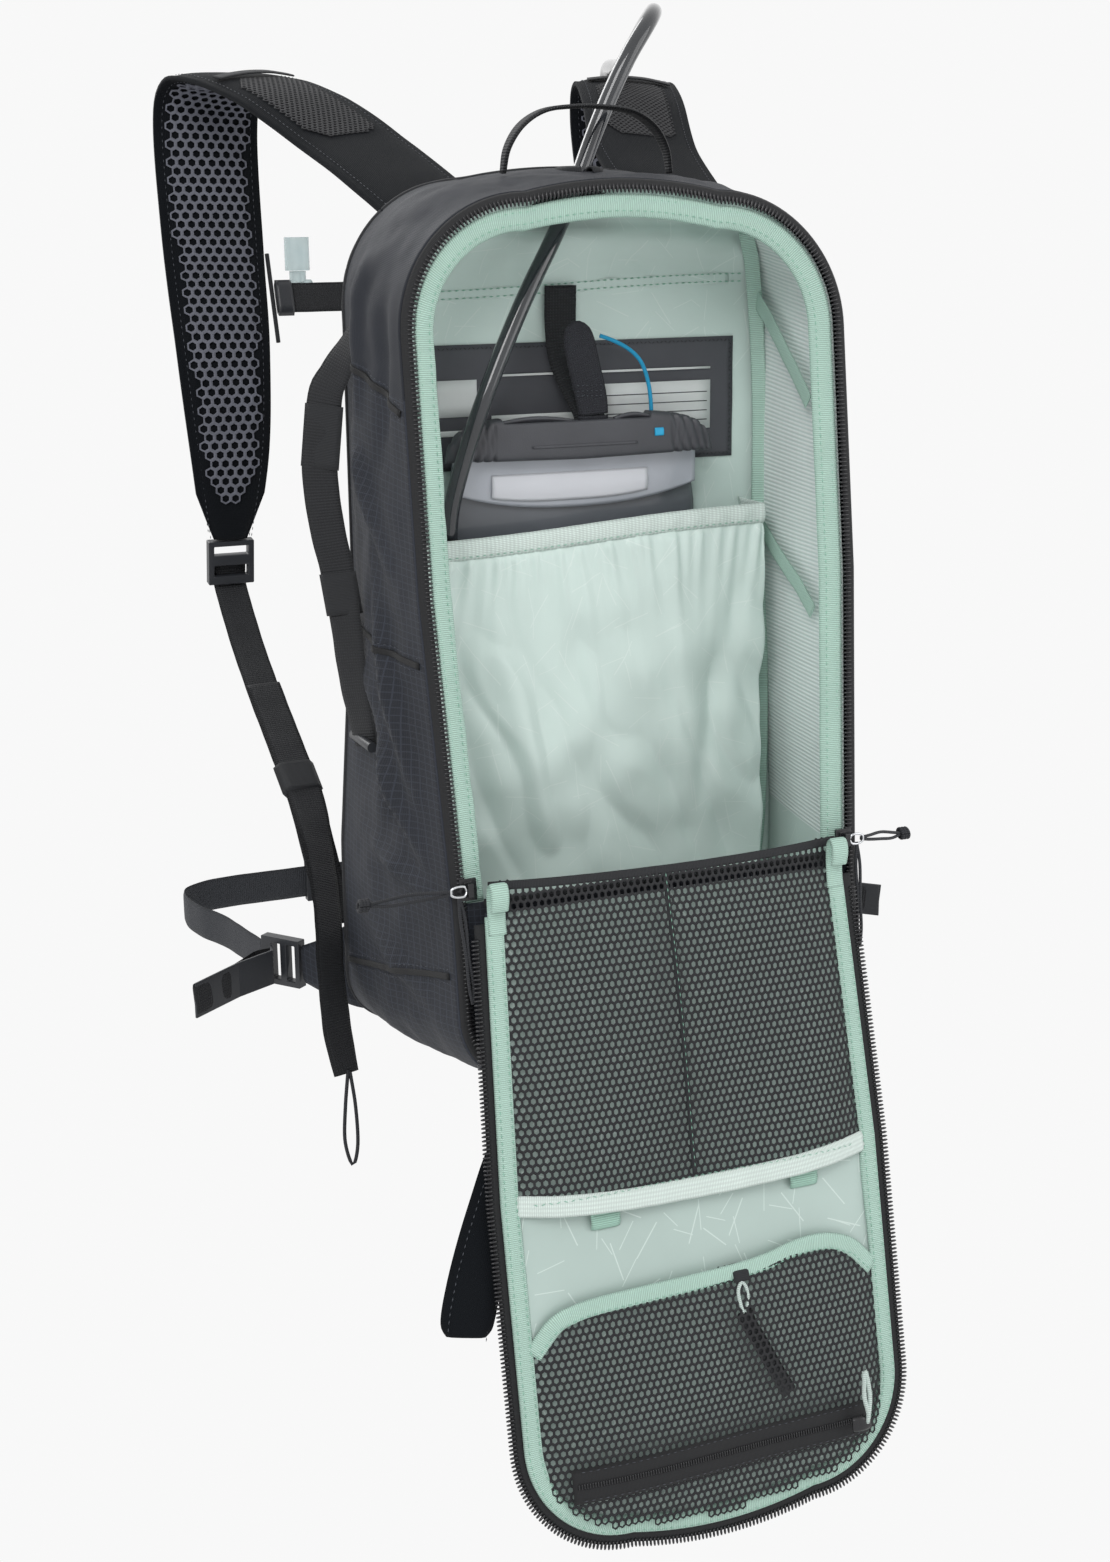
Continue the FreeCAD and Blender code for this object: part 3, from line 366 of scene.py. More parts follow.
def stitches(name, line, normal, finish, length=STITCH, gap=STITCH_GAP, radius=0.28, lift=0.15, zigzag=0.0):
    """Thread dashes along a line of points, each a slim eight-faced solid."""
    line = np.asarray(line, dtype=float)
    reach = run_length(line) / MM
    normal = np.broadcast_to(np.asarray(normal, dtype=float), line.shape)
    verts, faces, uvs = [], [], []
    start = gap
    side_sign = 1
    while start + length < reach[-1]:
        spots = (start, start + length)
        ends = [np.array([np.interp(s, reach, line[:, k]) for k in range(3)]) for s in spots]
        out = unit(np.array([np.interp(start, reach, normal[:, k]) for k in range(3)]))
        run = unit(ends[1] - ends[0])
        side = np.cross(out, run)
        tip_a = ends[0] + out * lift + side * zigzag * side_sign
        tip_b = ends[1] + out * lift - side * zigzag * side_sign
        middle = (tip_a + tip_b) / 2 + out * radius * 0.6
        base = len(verts)
        verts += [tip_a, middle + side * radius, middle + out * radius, middle - side * radius,
                  middle - out * radius, tip_b]
        for k in range(4):
            faces += [[base, base + 1 + k, base + 1 + (k + 1) % 4],
                      [base + 5, base + 1 + (k + 1) % 4, base + 1 + k]]
        uvs += [(0.0, s * MM) for s in (spots[0],) + (start,) * 4 + (spots[1],)]
        side_sign = -side_sign
        start += length + gap
    return new_piece(name, row(verts), faces, uvs, finish)


def teeth(name, line, out, inward, finish, pitch=1.7, reach_in=3.4, high=1.5, wide=1.1):
    """A row of zip coil loops along a line: rounded bars square to it."""
    reach = run_length(line) / MM
    count = int(reach[-1] / pitch)
    spots = np.linspace(pitch / 2, reach[-1] - pitch / 2, count)

    def at(values):
        return np.stack([np.interp(spots, reach, values[:, k]) for k in range(3)], axis=-1)

    centre = at(np.asarray(line, dtype=float))
    out = unit(at(np.broadcast_to(np.asarray(out, dtype=float), line.shape)))
    inward = unit(at(np.broadcast_to(np.asarray(inward, dtype=float), line.shape)))
    run = unit(np.cross(out, inward))
    corners = []
    for depth, scale in ((-reach_in / 2, 0.55), (-reach_in / 4, 1.0), (reach_in / 4, 1.0),
                         (reach_in / 2, 0.55)):
        for angle in np.linspace(0, 2 * math.pi, 6, endpoint=False):
            corners.append(centre + inward * depth + run * (wide / 2 * scale * math.cos(angle))
                           + out * (high / 2 * scale * math.sin(angle)))
    verts = np.stack(corners, axis=1).reshape(-1, 3)
    one = [list(f) for f in grid_faces(4, 6, wrap=True)] + [[5, 4, 3, 2, 1, 0], [18, 19, 20, 21, 22, 23]]
    faces = [[v + 24 * k for v in face] for k in range(count) for face in one]
    return new_piece(name, row(verts), faces, np.zeros((len(verts), 2)), finish)


# %% [markdown]
# Nets have real holes, so that what lies behind shows through. A sheet of six-sided cells is
# laid out flat, a smaller six-sided hole is left in each, and a function bends the sheet.

# %% Nets
def net(name, place, inside, width, height, pitch, bar, thick, finish, stretch=1.0):
    """Hexagonal netting. place maps flat (u, v) in millimetres to points; inside keeps cells."""
    step_u = pitch
    step_v = pitch * math.sqrt(0.75) * stretch
    verts, faces, lookup = [], [], {}

    def corner(u, v):
        key = (round(u * 50), round(v * 50))
        if key not in lookup:
            lookup[key] = len(verts)
            verts.append((u, v))
        return lookup[key]

    angles = [math.radians(30 + 60 * k) for k in range(6)]
    big = pitch / math.sqrt(3)
    hole = 1 - bar / pitch
    rows = int(height / step_v) + 2
    cols = int(width / step_u) + 2
    for r in range(-1, rows):
        for c in range(-1, cols):
            u = c * step_u + (r % 2) * step_u / 2
            v = r * step_v
            if not inside(u, v):
                continue
            outer = [corner(u + big * math.cos(a), v + big * stretch * math.sin(a)) for a in angles]
            start = len(verts)
            verts += [(u + big * hole * math.cos(a), v + big * hole * stretch * math.sin(a)) for a in angles]
            for k in range(6):
                m = (k + 1) % 6
                faces.append([outer[k], outer[m], start + m, start + k])
    flat = np.array(verts)
    piece = new_piece(name, row(place(flat[:, 0], flat[:, 1])), faces, flat * MM, finish)
    solidify(piece, thick)
    print(name, "cells", len(faces) // 6)
    return piece

# %% [markdown]
# ## Finishes
# A cloth finish is a weave in bump, a colour that drifts a little, and some sheen. Each is built
# from a few small node helpers: numbers go in, a socket comes out.

# %% Node helpers
def tint(red, green, blue):
    """A colour given as 0 to 255 screen values, as the light values that shaders take."""
    def light(value):
        share = value / 255.0
        return share / 12.92 if share <= 0.04045 else ((share + 0.055) / 1.055) ** 2.4
    return (light(red), light(green), light(blue), 1.0)


def new_finish(name, roughness, sheen=0.0, metallic=0.0, coat=0.0, transmission=0.0, ior=1.5):
    finish = bpy.data.materials.new(name)
    finish.use_nodes = True
    shader = finish.node_tree.nodes["Principled BSDF"]
    shader.inputs["Roughness"].default_value = roughness
    shader.inputs["Metallic"].default_value = metallic
    shader.inputs["Sheen Weight"].default_value = sheen
    shader.inputs["Coat Weight"].default_value = coat
    shader.inputs["Transmission Weight"].default_value = transmission
    shader.inputs["IOR"].default_value = ior
    return finish


def add(finish, kind, **settings):
    made = finish.node_tree.nodes.new("ShaderNode" + kind)
    for name, value in settings.items():
        setattr(made, name, value)
    return made


def plug(finish, value, socket):
    """Sets a socket to a number or colour, or links it to another socket."""
    if hasattr(value, "links"):
        finish.node_tree.links.new(value, socket)
    else:
        socket.default_value = value


def calc(finish, operation, *values):
    made = add(finish, "Math", operation=operation)
    for socket, value in zip(made.inputs, values):
        plug(finish, value, socket)
    return made.outputs[0]


def cloth_sizes(finish):
    """How far along the width and the length of the cloth, in metres."""
    split = add(finish, "SeparateXYZ")
    plug(finish, add(finish, "UVMap", uv_map="cloth").outputs[0], split.inputs[0])
    return split.outputs[0], split.outputs[1]


def solid_sizes(finish):
    """Place in the frame, for pieces that have no cloth map."""
    split = add(finish, "SeparateXYZ")
    plug(finish, add(finish, "TexCoord").outputs["Object"], split.inputs[0])
    return split.outputs


def ribs(finish, size, pitch):
    """Rounded ridges, 0 to 1, every pitch millimetres."""
    wave = calc(finish, "SINE", calc(finish, "MULTIPLY", size, 2 * math.pi / (pitch * MM)))
    return calc(finish, "MULTIPLY_ADD", wave, 0.5, 0.5)


def lines(finish, size, pitch, width):
    """1 on a thin line every pitch millimetres, else 0."""
    turn = calc(finish, "FRACT", calc(finish, "MULTIPLY", size, 1.0 / (pitch * MM)))
    return calc(finish, "LESS_THAN", turn, width / pitch)


def cloudy(finish, scale, detail=3.0, vector=None):
    made = add(finish, "TexNoise")
    made.inputs["Scale"].default_value = scale
    made.inputs["Detail"].default_value = detail
    plug(finish, vector if vector is not None else add(finish, "TexCoord").outputs["Object"],
         made.inputs["Vector"])
    return made.outputs[0]


def between(finish, share, low, high):
    """A colour from low to high as share goes from 0 to 1."""
    mix = add(finish, "Mix", data_type="RGBA")
    plug(finish, share, mix.inputs[0])
    plug(finish, low, mix.inputs[6])
    plug(finish, high, mix.inputs[7])
    return mix.outputs[2]


def relief(finish, height, depth, strength=1.0):
    """Raises the surface by height times depth millimetres, in its shading only."""
    bump = add(finish, "Bump")
    bump.inputs["Distance"].default_value = depth * MM
    bump.inputs["Strength"].default_value = strength
    plug(finish, height, bump.inputs["Height"])
    plug(finish, bump.outputs[0], finish.node_tree.nodes["Principled BSDF"].inputs["Normal"])


def paint(finish, colour):
    plug(finish, colour, finish.node_tree.nodes["Principled BSDF"].inputs["Base Color"])


def darker(colour, share):
    return tuple(c * share for c in colour[:3]) + (1.0,)


# %% [markdown]
# Cloth finishes. A plain weave has ridges both ways. Ripstop adds a thicker thread every few
# millimetres. Webbing and grosgrain have ribs across the strip, with a woven edge.

# %% Cloth finishes
def crumpled(finish, scale):
    """Ridged noise, like the small creases of thin coated cloth."""
    made = add(finish, "TexNoise", noise_type="RIDGED_MULTIFRACTAL")
    made.inputs["Scale"].default_value = scale
    made.inputs["Detail"].default_value = 3.0
    plug(finish, add(finish, "TexCoord").outputs["Object"], made.inputs["Vector"])
    return made.outputs[0]


def woven(name, colour, pitch=0.7, roughness=0.8, sheen=0.03, drift=0.12, grid=0.0, grid_width=0.5,
          depth=0.12,
          creases=0.0, gloss=0.25):
    """A plain weave, with a ripstop grid and small creases where wanted."""
    finish = new_finish(name, roughness, sheen)
    finish.node_tree.nodes["Principled BSDF"].inputs["Specular IOR Level"].default_value = gloss
    u, v = cloth_sizes(finish)
    height = calc(finish, "MULTIPLY", ribs(finish, u, pitch), ribs(finish, v, pitch))
    cloud = cloudy(finish, 26.0)
    shade = between(finish, cloud, darker(colour, 1 - drift * 2), darker(colour, 1 + drift * 2))
    # Painted highlight: the raised crests of the weave are painted lighter, up to 1.25 times the colour,
    # following the weave's own height.
    shade = between(finish, calc(finish, "MULTIPLY", height, 0.35), shade, darker(colour, 1.25))
    if grid:
        thick_thread = calc(finish, "MAXIMUM", lines(finish, u, grid, grid_width),
                            lines(finish, v, grid, grid_width))
        shade = between(finish, calc(finish, "MULTIPLY", thick_thread, 0.5), shade, darker(colour, 3.0))
        height = calc(finish, "ADD", height, calc(finish, "MULTIPLY", thick_thread, 1.6))
    paint(finish, shade)
    if creases:
        height = calc(finish, "MULTIPLY_ADD", crumpled(finish, 24.0), creases / depth, height)
    relief(finish, height, depth)
    return finish


def ribbed(name, colour, pitch=1.1, roughness=0.75, sheen=0.03, lines_along=0.0, depth=0.3, drift=0.08):
    """Webbing or grosgrain: ribs across the strip, and lengthwise threads where wanted."""
    finish = new_finish(name, roughness, sheen)
    u, v = cloth_sizes(finish)
    height = ribs(finish, v, pitch)
    if lines_along:
        height = calc(finish, "MULTIPLY", height,
                      calc(finish, "MULTIPLY_ADD", ribs(finish, u, lines_along), 0.6, 0.4))
    cloud = cloudy(finish, 60.0)
    shade = between(finish, cloud, darker(colour, 1 - drift * 2), darker(colour, 1 + drift * 2))
    # Painted shade: the valleys between the ribs are painted darker, down to 0.62 of the colour, following
    # the rib height.
    shade = between(finish, height, darker(colour, 0.62), shade)
    paint(finish, shade)
    relief(finish, height, depth)
    return finish


SHELL_BLACK = tint(36, 39, 46)
WEB_BLACK = tint(28, 30, 34)
MINT = tint(190, 223, 209)
PALE_MINT = tint(234, 248, 242)
LINING_MINT = tint(206, 224, 218)

plain_shell = woven("plain_shell", SHELL_BLACK, pitch=0.8, roughness=0.62, drift=0.14, creases=1.7)
ripstop_shell = woven("ripstop_shell", SHELL_BLACK, pitch=0.8, roughness=0.62, grid=3.6, grid_width=0.5,
                      depth=0.2,
                      drift=0.14, creases=1.7)
strap_cloth = woven("strap_cloth", tint(15, 18, 22), pitch=1.0, drift=0.1, depth=0.2, creases=0.5, gloss=0.1)
webbing = ribbed("webbing", WEB_BLACK, pitch=1.5, lines_along=1.6, depth=0.35)
fine_webbing = ribbed("fine_webbing", tint(50, 53, 59), pitch=1.2, lines_along=1.2, depth=0.25)
seam_dark = ribbed("seam_dark", tint(10, 11, 14), pitch=0.8, depth=0.15)
strap_tape = ribbed("strap_tape", tint(31, 33, 37), pitch=0.8, depth=0.15)
zip_tape = ribbed("zip_tape", tint(24, 25, 28), pitch=0.7, lines_along=0.9, depth=0.12)
mint_tape = ribbed("mint_tape", MINT, pitch=1.0, depth=0.22, drift=0.05)
mint_elastic = ribbed("mint_elastic", PALE_MINT, pitch=0.9, lines_along=2.2, depth=0.1, drift=0.04)
mint_tab = ribbed("mint_tab", tint(176, 217, 200), pitch=1.0, depth=0.2, drift=0.04)


# %% [markdown]
# The lining is light coated cloth with a scatter of thin pale sticks woven in. Each cell of a
# Voronoi pattern holds one stick: the cell's random colour turns it, and its distance from the
# cell's own point cuts it to length.

# %% Lining finish
STICK_CELL = 19.0
STICK_HALF = 0.42
STICK_WIDE = 0.013


def sticks(finish, u, v, cell, shift):
    flat = add(finish, "CombineXYZ")
    plug(finish, calc(finish, "MULTIPLY_ADD", u, 1.0 / (cell * MM), shift), flat.inputs[0])
    plug(finish, calc(finish, "MULTIPLY_ADD", v, 1.0 / (cell * MM), shift * 0.7), flat.inputs[1])
    cells = add(finish, "TexVoronoi", voronoi_dimensions="2D")
    cells.inputs["Scale"].default_value = 1.0
    plug(finish, flat.outputs[0], cells.inputs["Vector"])
    apart = add(finish, "VectorMath", operation="SUBTRACT")
    plug(finish, flat.outputs[0], apart.inputs[0])
    plug(finish, cells.outputs["Position"], apart.inputs[1])
    turned = add(finish, "VectorRotate", rotation_type="Z_AXIS")
    plug(finish, apart.outputs[0], turned.inputs["Vector"])
    random_share = add(finish, "SeparateColor")
    plug(finish, cells.outputs["Color"], random_share.inputs[0])
    plug(finish, calc(finish, "MULTIPLY", random_share.outputs[0], math.pi), turned.inputs["Angle"])
    split = add(finish, "SeparateXYZ")
    plug(finish, turned.outputs[0], split.inputs[0])
    short = calc(finish, "LESS_THAN", calc(finish, "ABSOLUTE", split.outputs[0]), STICK_HALF)
    thin = calc(finish, "LESS_THAN", calc(finish, "ABSOLUTE", split.outputs[1]), STICK_WIDE)
    return calc(finish, "MULTIPLY", short, thin)


def lining_cloth(name, colour, roughness=0.5, from_map=True):
    finish = new_finish(name, roughness, 0.15)
    if from_map:
        u, v = cloth_sizes(finish)
    else:
        x, _, v = solid_sizes(finish)
        u = x
    stick = calc(finish, "MAXIMUM", sticks(finish, u, v, STICK_CELL, 0.0),
                 sticks(finish, u, v, STICK_CELL * 1.3, 5.3))
    shade = between(finish, cloudy(finish, 14.0), darker(colour, 0.88), darker(colour, 1.1))
    shade = between(finish, calc(finish, "MULTIPLY", stick, 0.5), shade, tint(226, 238, 233))
    paint(finish, shade)
    weave = calc(finish, "MULTIPLY", ribs(finish, u, 0.6), ribs(finish, v, 0.6))
    relief(finish, calc(finish, "MULTIPLY_ADD", crumpled(finish, 17.0), 3.2,
                        calc(finish, "MULTIPLY", weave, 0.08)), 0.55)
    return finish


mint_lining = lining_cloth("mint_lining", LINING_MINT)
sleeve_lining = lining_cloth("sleeve_lining", tint(211, 228, 222), roughness=0.4)
panel_lining_cloth = lining_cloth("panel_lining_cloth", tint(180, 198, 192), roughness=0.4)

striped_wall = new_finish("striped_wall", 0.7, 0.2)
_, wall_up = cloth_sizes(striped_wall)
stripe = ribs(striped_wall, wall_up, 2.2)
paint(striped_wall, between(striped_wall, stripe, tint(208, 221, 219), tint(238, 245, 243)))
relief(striped_wall, stripe, 0.25)
print("cloth finishes ready")

# %% [markdown]
# Moulded and coated finishes: black buckles with a fine grain, zip coil, the reservoir's smoky
# film, the clear tube and the small coloured parts.

# %% Hard and clear finishes
def moulded(name, colour, roughness=0.42, grain=900.0, depth=0.05, coat=0.0):
    finish = new_finish(name, roughness, coat=coat)
    cloud = cloudy(finish, grain, 2.0)
    paint(finish, between(finish, cloudy(finish, 45.0), darker(colour, 0.8), darker(colour, 1.25)))
    relief(finish, cloud, depth)
    return finish


buckle_black = moulded("buckle_black", tint(44, 46, 50), 0.4)
coil_black = moulded("coil_black", tint(30, 30, 33), 0.26, 400.0, 0.03)
bar_grey = moulded("bar_grey", tint(66, 67, 72), 0.48, 1500.0, 0.08)
button_blue = moulded("button_blue", tint(36, 160, 205), 0.35)
cord_blue = ribbed("cord_blue", tint(28, 158, 205), pitch=1.1, depth=0.15)
cord_black = ribbed("cord_black", tint(40, 42, 47), pitch=1.0, depth=0.2)
cord_pale = ribbed("cord_pale", tint(214, 230, 224), pitch=1.0, depth=0.2)
thread_mint = moulded("thread_mint", tint(142, 190, 170), 0.6)
thread_black = moulded("thread_black", tint(70, 73, 80), 0.6)
thread_dark = moulded("thread_dark", tint(24, 25, 28), 0.6)
net_black = moulded("net_black", tint(20, 21, 25), 0.7, 700.0)
hex_grey = moulded("hex_grey", tint(98, 100, 110), 0.75, 600.0, 0.15)
foam_dark = woven("foam_dark", tint(38, 40, 45), pitch=1.6, depth=0.4)

metal_bright = new_finish("metal_bright", 0.24, metallic=1.0)
paint(metal_bright, between(metal_bright, cloudy(metal_bright, 300.0), tint(170, 172, 176),
                            tint(228, 230, 232)))
relief(metal_bright, cloudy(metal_bright, 800.0), 0.02)

hose_smoke = new_finish("hose_smoke", 0.12, coat=0.6, transmission=0.3, ior=1.45)
paint(hose_smoke, between(hose_smoke, cloudy(hose_smoke, 30.0), tint(40, 42, 46), tint(66, 69, 74)))
relief(hose_smoke, cloudy(hose_smoke, 120.0), 0.1)

film_smoke = new_finish("film_smoke", 0.3, coat=0.4)
paint(film_smoke, between(film_smoke, cloudy(film_smoke, 16.0), tint(84, 88, 94), tint(108, 112, 118)))
relief(film_smoke, cloudy(film_smoke, 35.0), 0.6)

film_pale = new_finish("film_pale", 0.22, coat=0.5)
paint(film_pale, between(film_pale, cloudy(film_pale, 20.0), tint(158, 163, 172), tint(186, 190, 198)))
relief(film_pale, cloudy(film_pale, 40.0), 0.4)

film_white = new_finish("film_white", 0.3, coat=0.3)
paint(film_white, between(film_white, cloudy(film_white, 24.0), tint(200, 202, 208), tint(218, 220, 226)))

silicone = new_finish("silicone", 0.2, transmission=0.55, ior=1.41)
paint(silicone, between(silicone, cloudy(silicone, 60.0), tint(206, 226, 228), tint(230, 240, 240)))
relief(silicone, cloudy(silicone, 200.0), 0.05)

patch_cloth = woven("patch_cloth", tint(80, 81, 86), pitch=0.6, roughness=0.6, depth=0.08, drift=0.1)
print("hard and clear finishes ready")

# %% [markdown]
# ## The bag's shell
# The bag is a loft from the zip's outline to the back panel's outline. Both outlines are straight
# runs and arcs with the same number of points, so a sheet can be drawn between them. Real cloth
# sags and pulls, so every point moves a little in or out by smooth noise and a few long folds.

# %% Outlines
OPEN_HEIGHT = 340.0
HALF_FOLD = 105.6
HALF_MID = 112.0
MID_HEIGHT = 150.0
TOP_CORNER = 60.0
CROWN = 6.0
BELOW_FOLD = 88.0
LOW_CORNER = 30.0
BACK_Y = 125.0
BACK_HALF_FOLD = 130.0
BACK_HALF_MID = 119.0
BACK_TOP = 350.0
BACK_BOTTOM = -104.0
TAPE = 7.0


def half_outline(half_fold, half_mid, corner_z, corner, top, bottom, low_corner):
    """Right half of a bag outline, bottom middle to top middle, as (x, z) with fixed counts."""
    low_x = half_fold - low_corner
    low_z = bottom + low_corner
    centre_x = half_mid - corner
    bottom_run = [(x, bottom) for x in np.linspace(0, low_x, 26)[:-1]]
    turn = np.linspace(-math.pi / 2, 0, 18)[:-1]
    low_arc = [(low_x + low_corner * math.cos(a), low_z + low_corner * math.sin(a)) for a in turn]
    below = [(half_fold, z) for z in np.linspace(low_z, 0, 20)[:-1]]
    spread = [(half_fold + (half_mid - half_fold) * t, MID_HEIGHT * t) for t in np.linspace(0, 1, 46)[:-1]]
    wall = [(half_mid, z) for z in np.linspace(MID_HEIGHT, corner_z, 40)[:-1]]
    turn = np.linspace(0, math.pi / 2, 28)[:-1]
    arc = [(centre_x + corner * math.cos(a), corner_z + corner * math.sin(a)) for a in turn]
    shares = np.linspace(0, 1, 22)
    crest = [(centre_x * (1 - t), top + CROWN * (1 - (1 - t) ** 2)) for t in shares]
    return np.array(bottom_run + low_arc + below + spread + wall + arc + crest)


def whole(half):
    """Right half and its mirror, as one closed line that starts at the bottom middle."""
    left = half[1:-1][::-1] * (-1, 1)
    return np.vstack([half, left])


def zip_line(grow):
    corner_z = OPEN_HEIGHT - CROWN - TOP_CORNER
    return whole(half_outline(HALF_FOLD + grow, HALF_MID + grow, corner_z, TOP_CORNER + grow,
                              OPEN_HEIGHT - CROWN + grow, -BELOW_FOLD - grow, LOW_CORNER + grow))


def zip_points(grow, out=0.0):
    flat = zip_line(grow)
    return leaning(np.column_stack([flat[:, 0], np.full(len(flat), out), flat[:, 1]]))


def back_points(inset, y):
    corner_z = BACK_TOP - CROWN - TOP_CORNER
    flat = whole(half_outline(BACK_HALF_FOLD - inset, BACK_HALF_MID - inset, corner_z, TOP_CORNER - inset,
                              BACK_TOP - CROWN - inset, BACK_BOTTOM + inset, LOW_CORNER - inset))
    return np.column_stack([flat[:, 0], np.full(len(flat), y), flat[:, 1]])


print("zip line", round(run_length(zip_points(0.0))[-1], 3), "m round")


# %% Shell
SHELL_ROWS = 42
TOGGLE_AT = (93.0, 64.0)              # the toggle bar lies flat here and turns
TOGGLE_ROOM = 26.0
SEAMS = [(235.0, 266.0), (116.0, 124.0), (-36.0, -66.0)]     # heights at the zip and at the back


def soft_noise(points, scale, seed):
    """Smooth noise from -1 to 1 at each point."""
    flat = points.reshape(-1, 3) * scale + seed
    return np.array([noise.noise(Vector(p)) for p in flat]).reshape(points.shape[:-1])


def pulled_fold(points, start, end, wide, deep):
    """A long soft ridge between two spots, fading at its ends."""
    start, end = np.array(start, dtype=float), np.array(end, dtype=float)
    run = end - start
    share = np.clip(((points - start) @ run) / (run @ run), 0, 1)
    away = np.linalg.norm(points - (start + share[..., None] * run), axis=-1)
    return deep * np.sin(math.pi * np.clip(share, 0.02, 0.98)) * np.exp(-(away / wide) ** 2)


def shell_grid():
    front = zip_points(TAPE)
    back = back_points(0.0, BACK_Y)
    shares = np.linspace(0, 1, SHELL_ROWS)[:, None, None]
    grid = front + (back - front) * shares
    centre = np.array((0.0, 70.0, 120.0))
    out = unit((grid - centre) * (1, 0, 1) * (1.0, 0, 0.35))
    depth = np.sin(np.linspace(0, math.pi, SHELL_ROWS)) ** 0.7
    height = np.clip((grid[..., 2] + 100) / 450, 0, 1)
    on_side = np.clip((np.abs(grid[..., 0]) - 70) / 40, 0, 1)
    bulge = depth[:, None] * (1.5 + 3.0 * np.sin(math.pi * height) * on_side)
    ripple = soft_noise(grid, 0.018, 3.0) * 3.4 + soft_noise(grid, 0.05, 9.0) * 1.6 + soft_noise(grid, 0.11,
                                                                                                 15.0) * 0.7
    for side in (-1, 1):
        x = side * 118.0
        bulge = bulge + pulled_fold(grid, (x, 20, 10), (x, 95, 110), 6, 8.0)
        bulge = bulge + pulled_fold(grid, (x, 25, 40), (x, 80, 170), 6, 6.6)
        bulge = bulge - pulled_fold(grid, (x, 30, 20), (x, 105, 70), 7, 6.4)
        bulge = bulge + pulled_fold(grid, (x, 15, -60), (x, 110, -20), 7, 6.2)
        bulge = bulge - pulled_fold(grid, (x, 60, 300), (x, 60, 200), 9, 6.0)
        bulge = bulge + pulled_fold(grid, (x, 90, 320), (x, 95, 215), 7, 6.0)
        bulge = bulge + pulled_fold(grid, (x, 12, 0), (x, 100, 20), 5, 6.6)
        bulge = bulge + pulled_fold(grid, (x, 40, 150), (x, 112, 232), 6, 5.8)
    move = (bulge + ripple * depth[:, None]) * np.minimum(1.0, depth[:, None] * 1.6)
    from_toggle = np.hypot(grid[..., 1] - TOGGLE_AT[0], grid[..., 2] - TOGGLE_AT[1])
    move = move - np.clip(move, 0, None) * np.exp(-(from_toggle / TOGGLE_ROOM) ** 4)
    return grid + out * move[..., None]


def closed_cloth(name, grid, finish):
    """A sheet whose columns close into a ring: the first column is repeated for the cloth map."""
    ring_grid = np.concatenate([grid, grid[:, :1]], axis=1)
    return cloth(name, ring_grid, finish)


side_grid = shell_grid()
shell = closed_cloth("bag_shell", side_grid, plain_shell)
shell.data.materials.append(ripstop_shell)
for face in shell.data.polygons:
    centre = np.array(face.center) / MM - FOLD
    seam_z = SEAMS[0][0] + (SEAMS[0][1] - SEAMS[0][0]) * centre[1] / BACK_Y
    if centre[2] < seam_z:
        face.material_index = 1
solidify(shell, 1.2, -1.0)
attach(shell, "pack")
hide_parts("side_panels", "base_panel", "top_panel")
print("shell faces", len(shell.data.polygons))


def seam_on_side(side, low, high):
    """A line on one side of the shell, from a height at the zip to a height at the back."""
    middle = side_grid.shape[1] // 2
    half = side_grid[:, :middle] if side > 0 else side_grid[:, :middle:-1]
    points = []
    for i, share in enumerate(np.linspace(0, 1, len(half))):
        z = low + (high - low) * share
        points.append([np.interp(z, half[i, :, 2], half[i, :, k]) for k in range(3)])
    return np.array(points)[2:-1]


number = 0
for side in (-1, 1):
    for low, high in SEAMS:
        line = seam_on_side(side, low, high)
        ridge = strap("side_seam_%d" % number, line[::2] + (side * 1.5, 0, 0), 3.4, 1.8, seam_dark,
                      (0.0, 0.0, 1.0))
        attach(ridge, "pack")
        for row_number, rise in enumerate((-3.6, 3.6)):
            thread = stitches("side_stitches_%d_%d" % (number, row_number), line + (side * 0.8, 0, rise),
                              (side, 0, 0),
                              thread_black, lift=0.3)
            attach(thread, "pack")
        number += 1

# %% [markdown]
# The zip runs round the opening: a black tape, a ridge of coil loops at its inner edge, and a
# mint binding sewn over the raw edges inside. The coil is real geometry, since its small shine
# is what the eye catches along the edge of an open bag.

# %% Zip round the opening
ZIP_END = -80.0                      # where the zip stops, below the fold line
BINDING = 10.0


def part_of(points, low, high=1e9):
    """The stretch of a closed outline whose height above the fold lies between two limits."""
    flat = zip_line(0.0)
    keep = np.where((flat[:, 1] >= low) & (flat[:, 1] <= high))[0]
    return points[keep]


def outline_band(name, profile, finish, low, wobble=0.0, place=leaning, thick=0.0, seed=0.0):
    """A strip round the opening from a list of (grow, out) profile points."""
    sides = []
    for grow, out in profile:
        flat = zip_line(grow)
        points = np.column_stack([flat[:, 0], np.full(len(flat), out), flat[:, 1]])
        sides.append(part_of(points, low))
    grid = np.stack(sides, axis=1)
    reach = run_length(grid[:, 0]) / MM
    inner_share = np.linspace(0, 1, len(profile))
    wave = np.array([noise.noise(Vector((r * 0.028, seed, 0.0))) + 0.5
                     * noise.noise(Vector((r * 0.09, seed, 4.0)))
                     for r in reach])
    grid[..., 1] += wobble * wave[:, None] * inner_share
    away = unit(grid[:, -1] - grid[:, 0])
    grid = grid + away[:, None, :] * (wobble * 0.8 * wave[:, None] * inner_share ** 2)[..., None]
    return cloth(name, place(grid), finish, thick)


TAPE_PROFILE = [(TAPE, -0.3), (TAPE + 0.4, 0.9), (TAPE - 0.6, 1.9), (TAPE - 2.0, 2.2), (3.6, 2.1), (2.6, 1.9)]
tape_piece = outline_band("zip_tape", TAPE_PROFILE, zip_tape, ZIP_END, thick=0.8)
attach(tape_piece, "pack")
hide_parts("zip_tape_body")

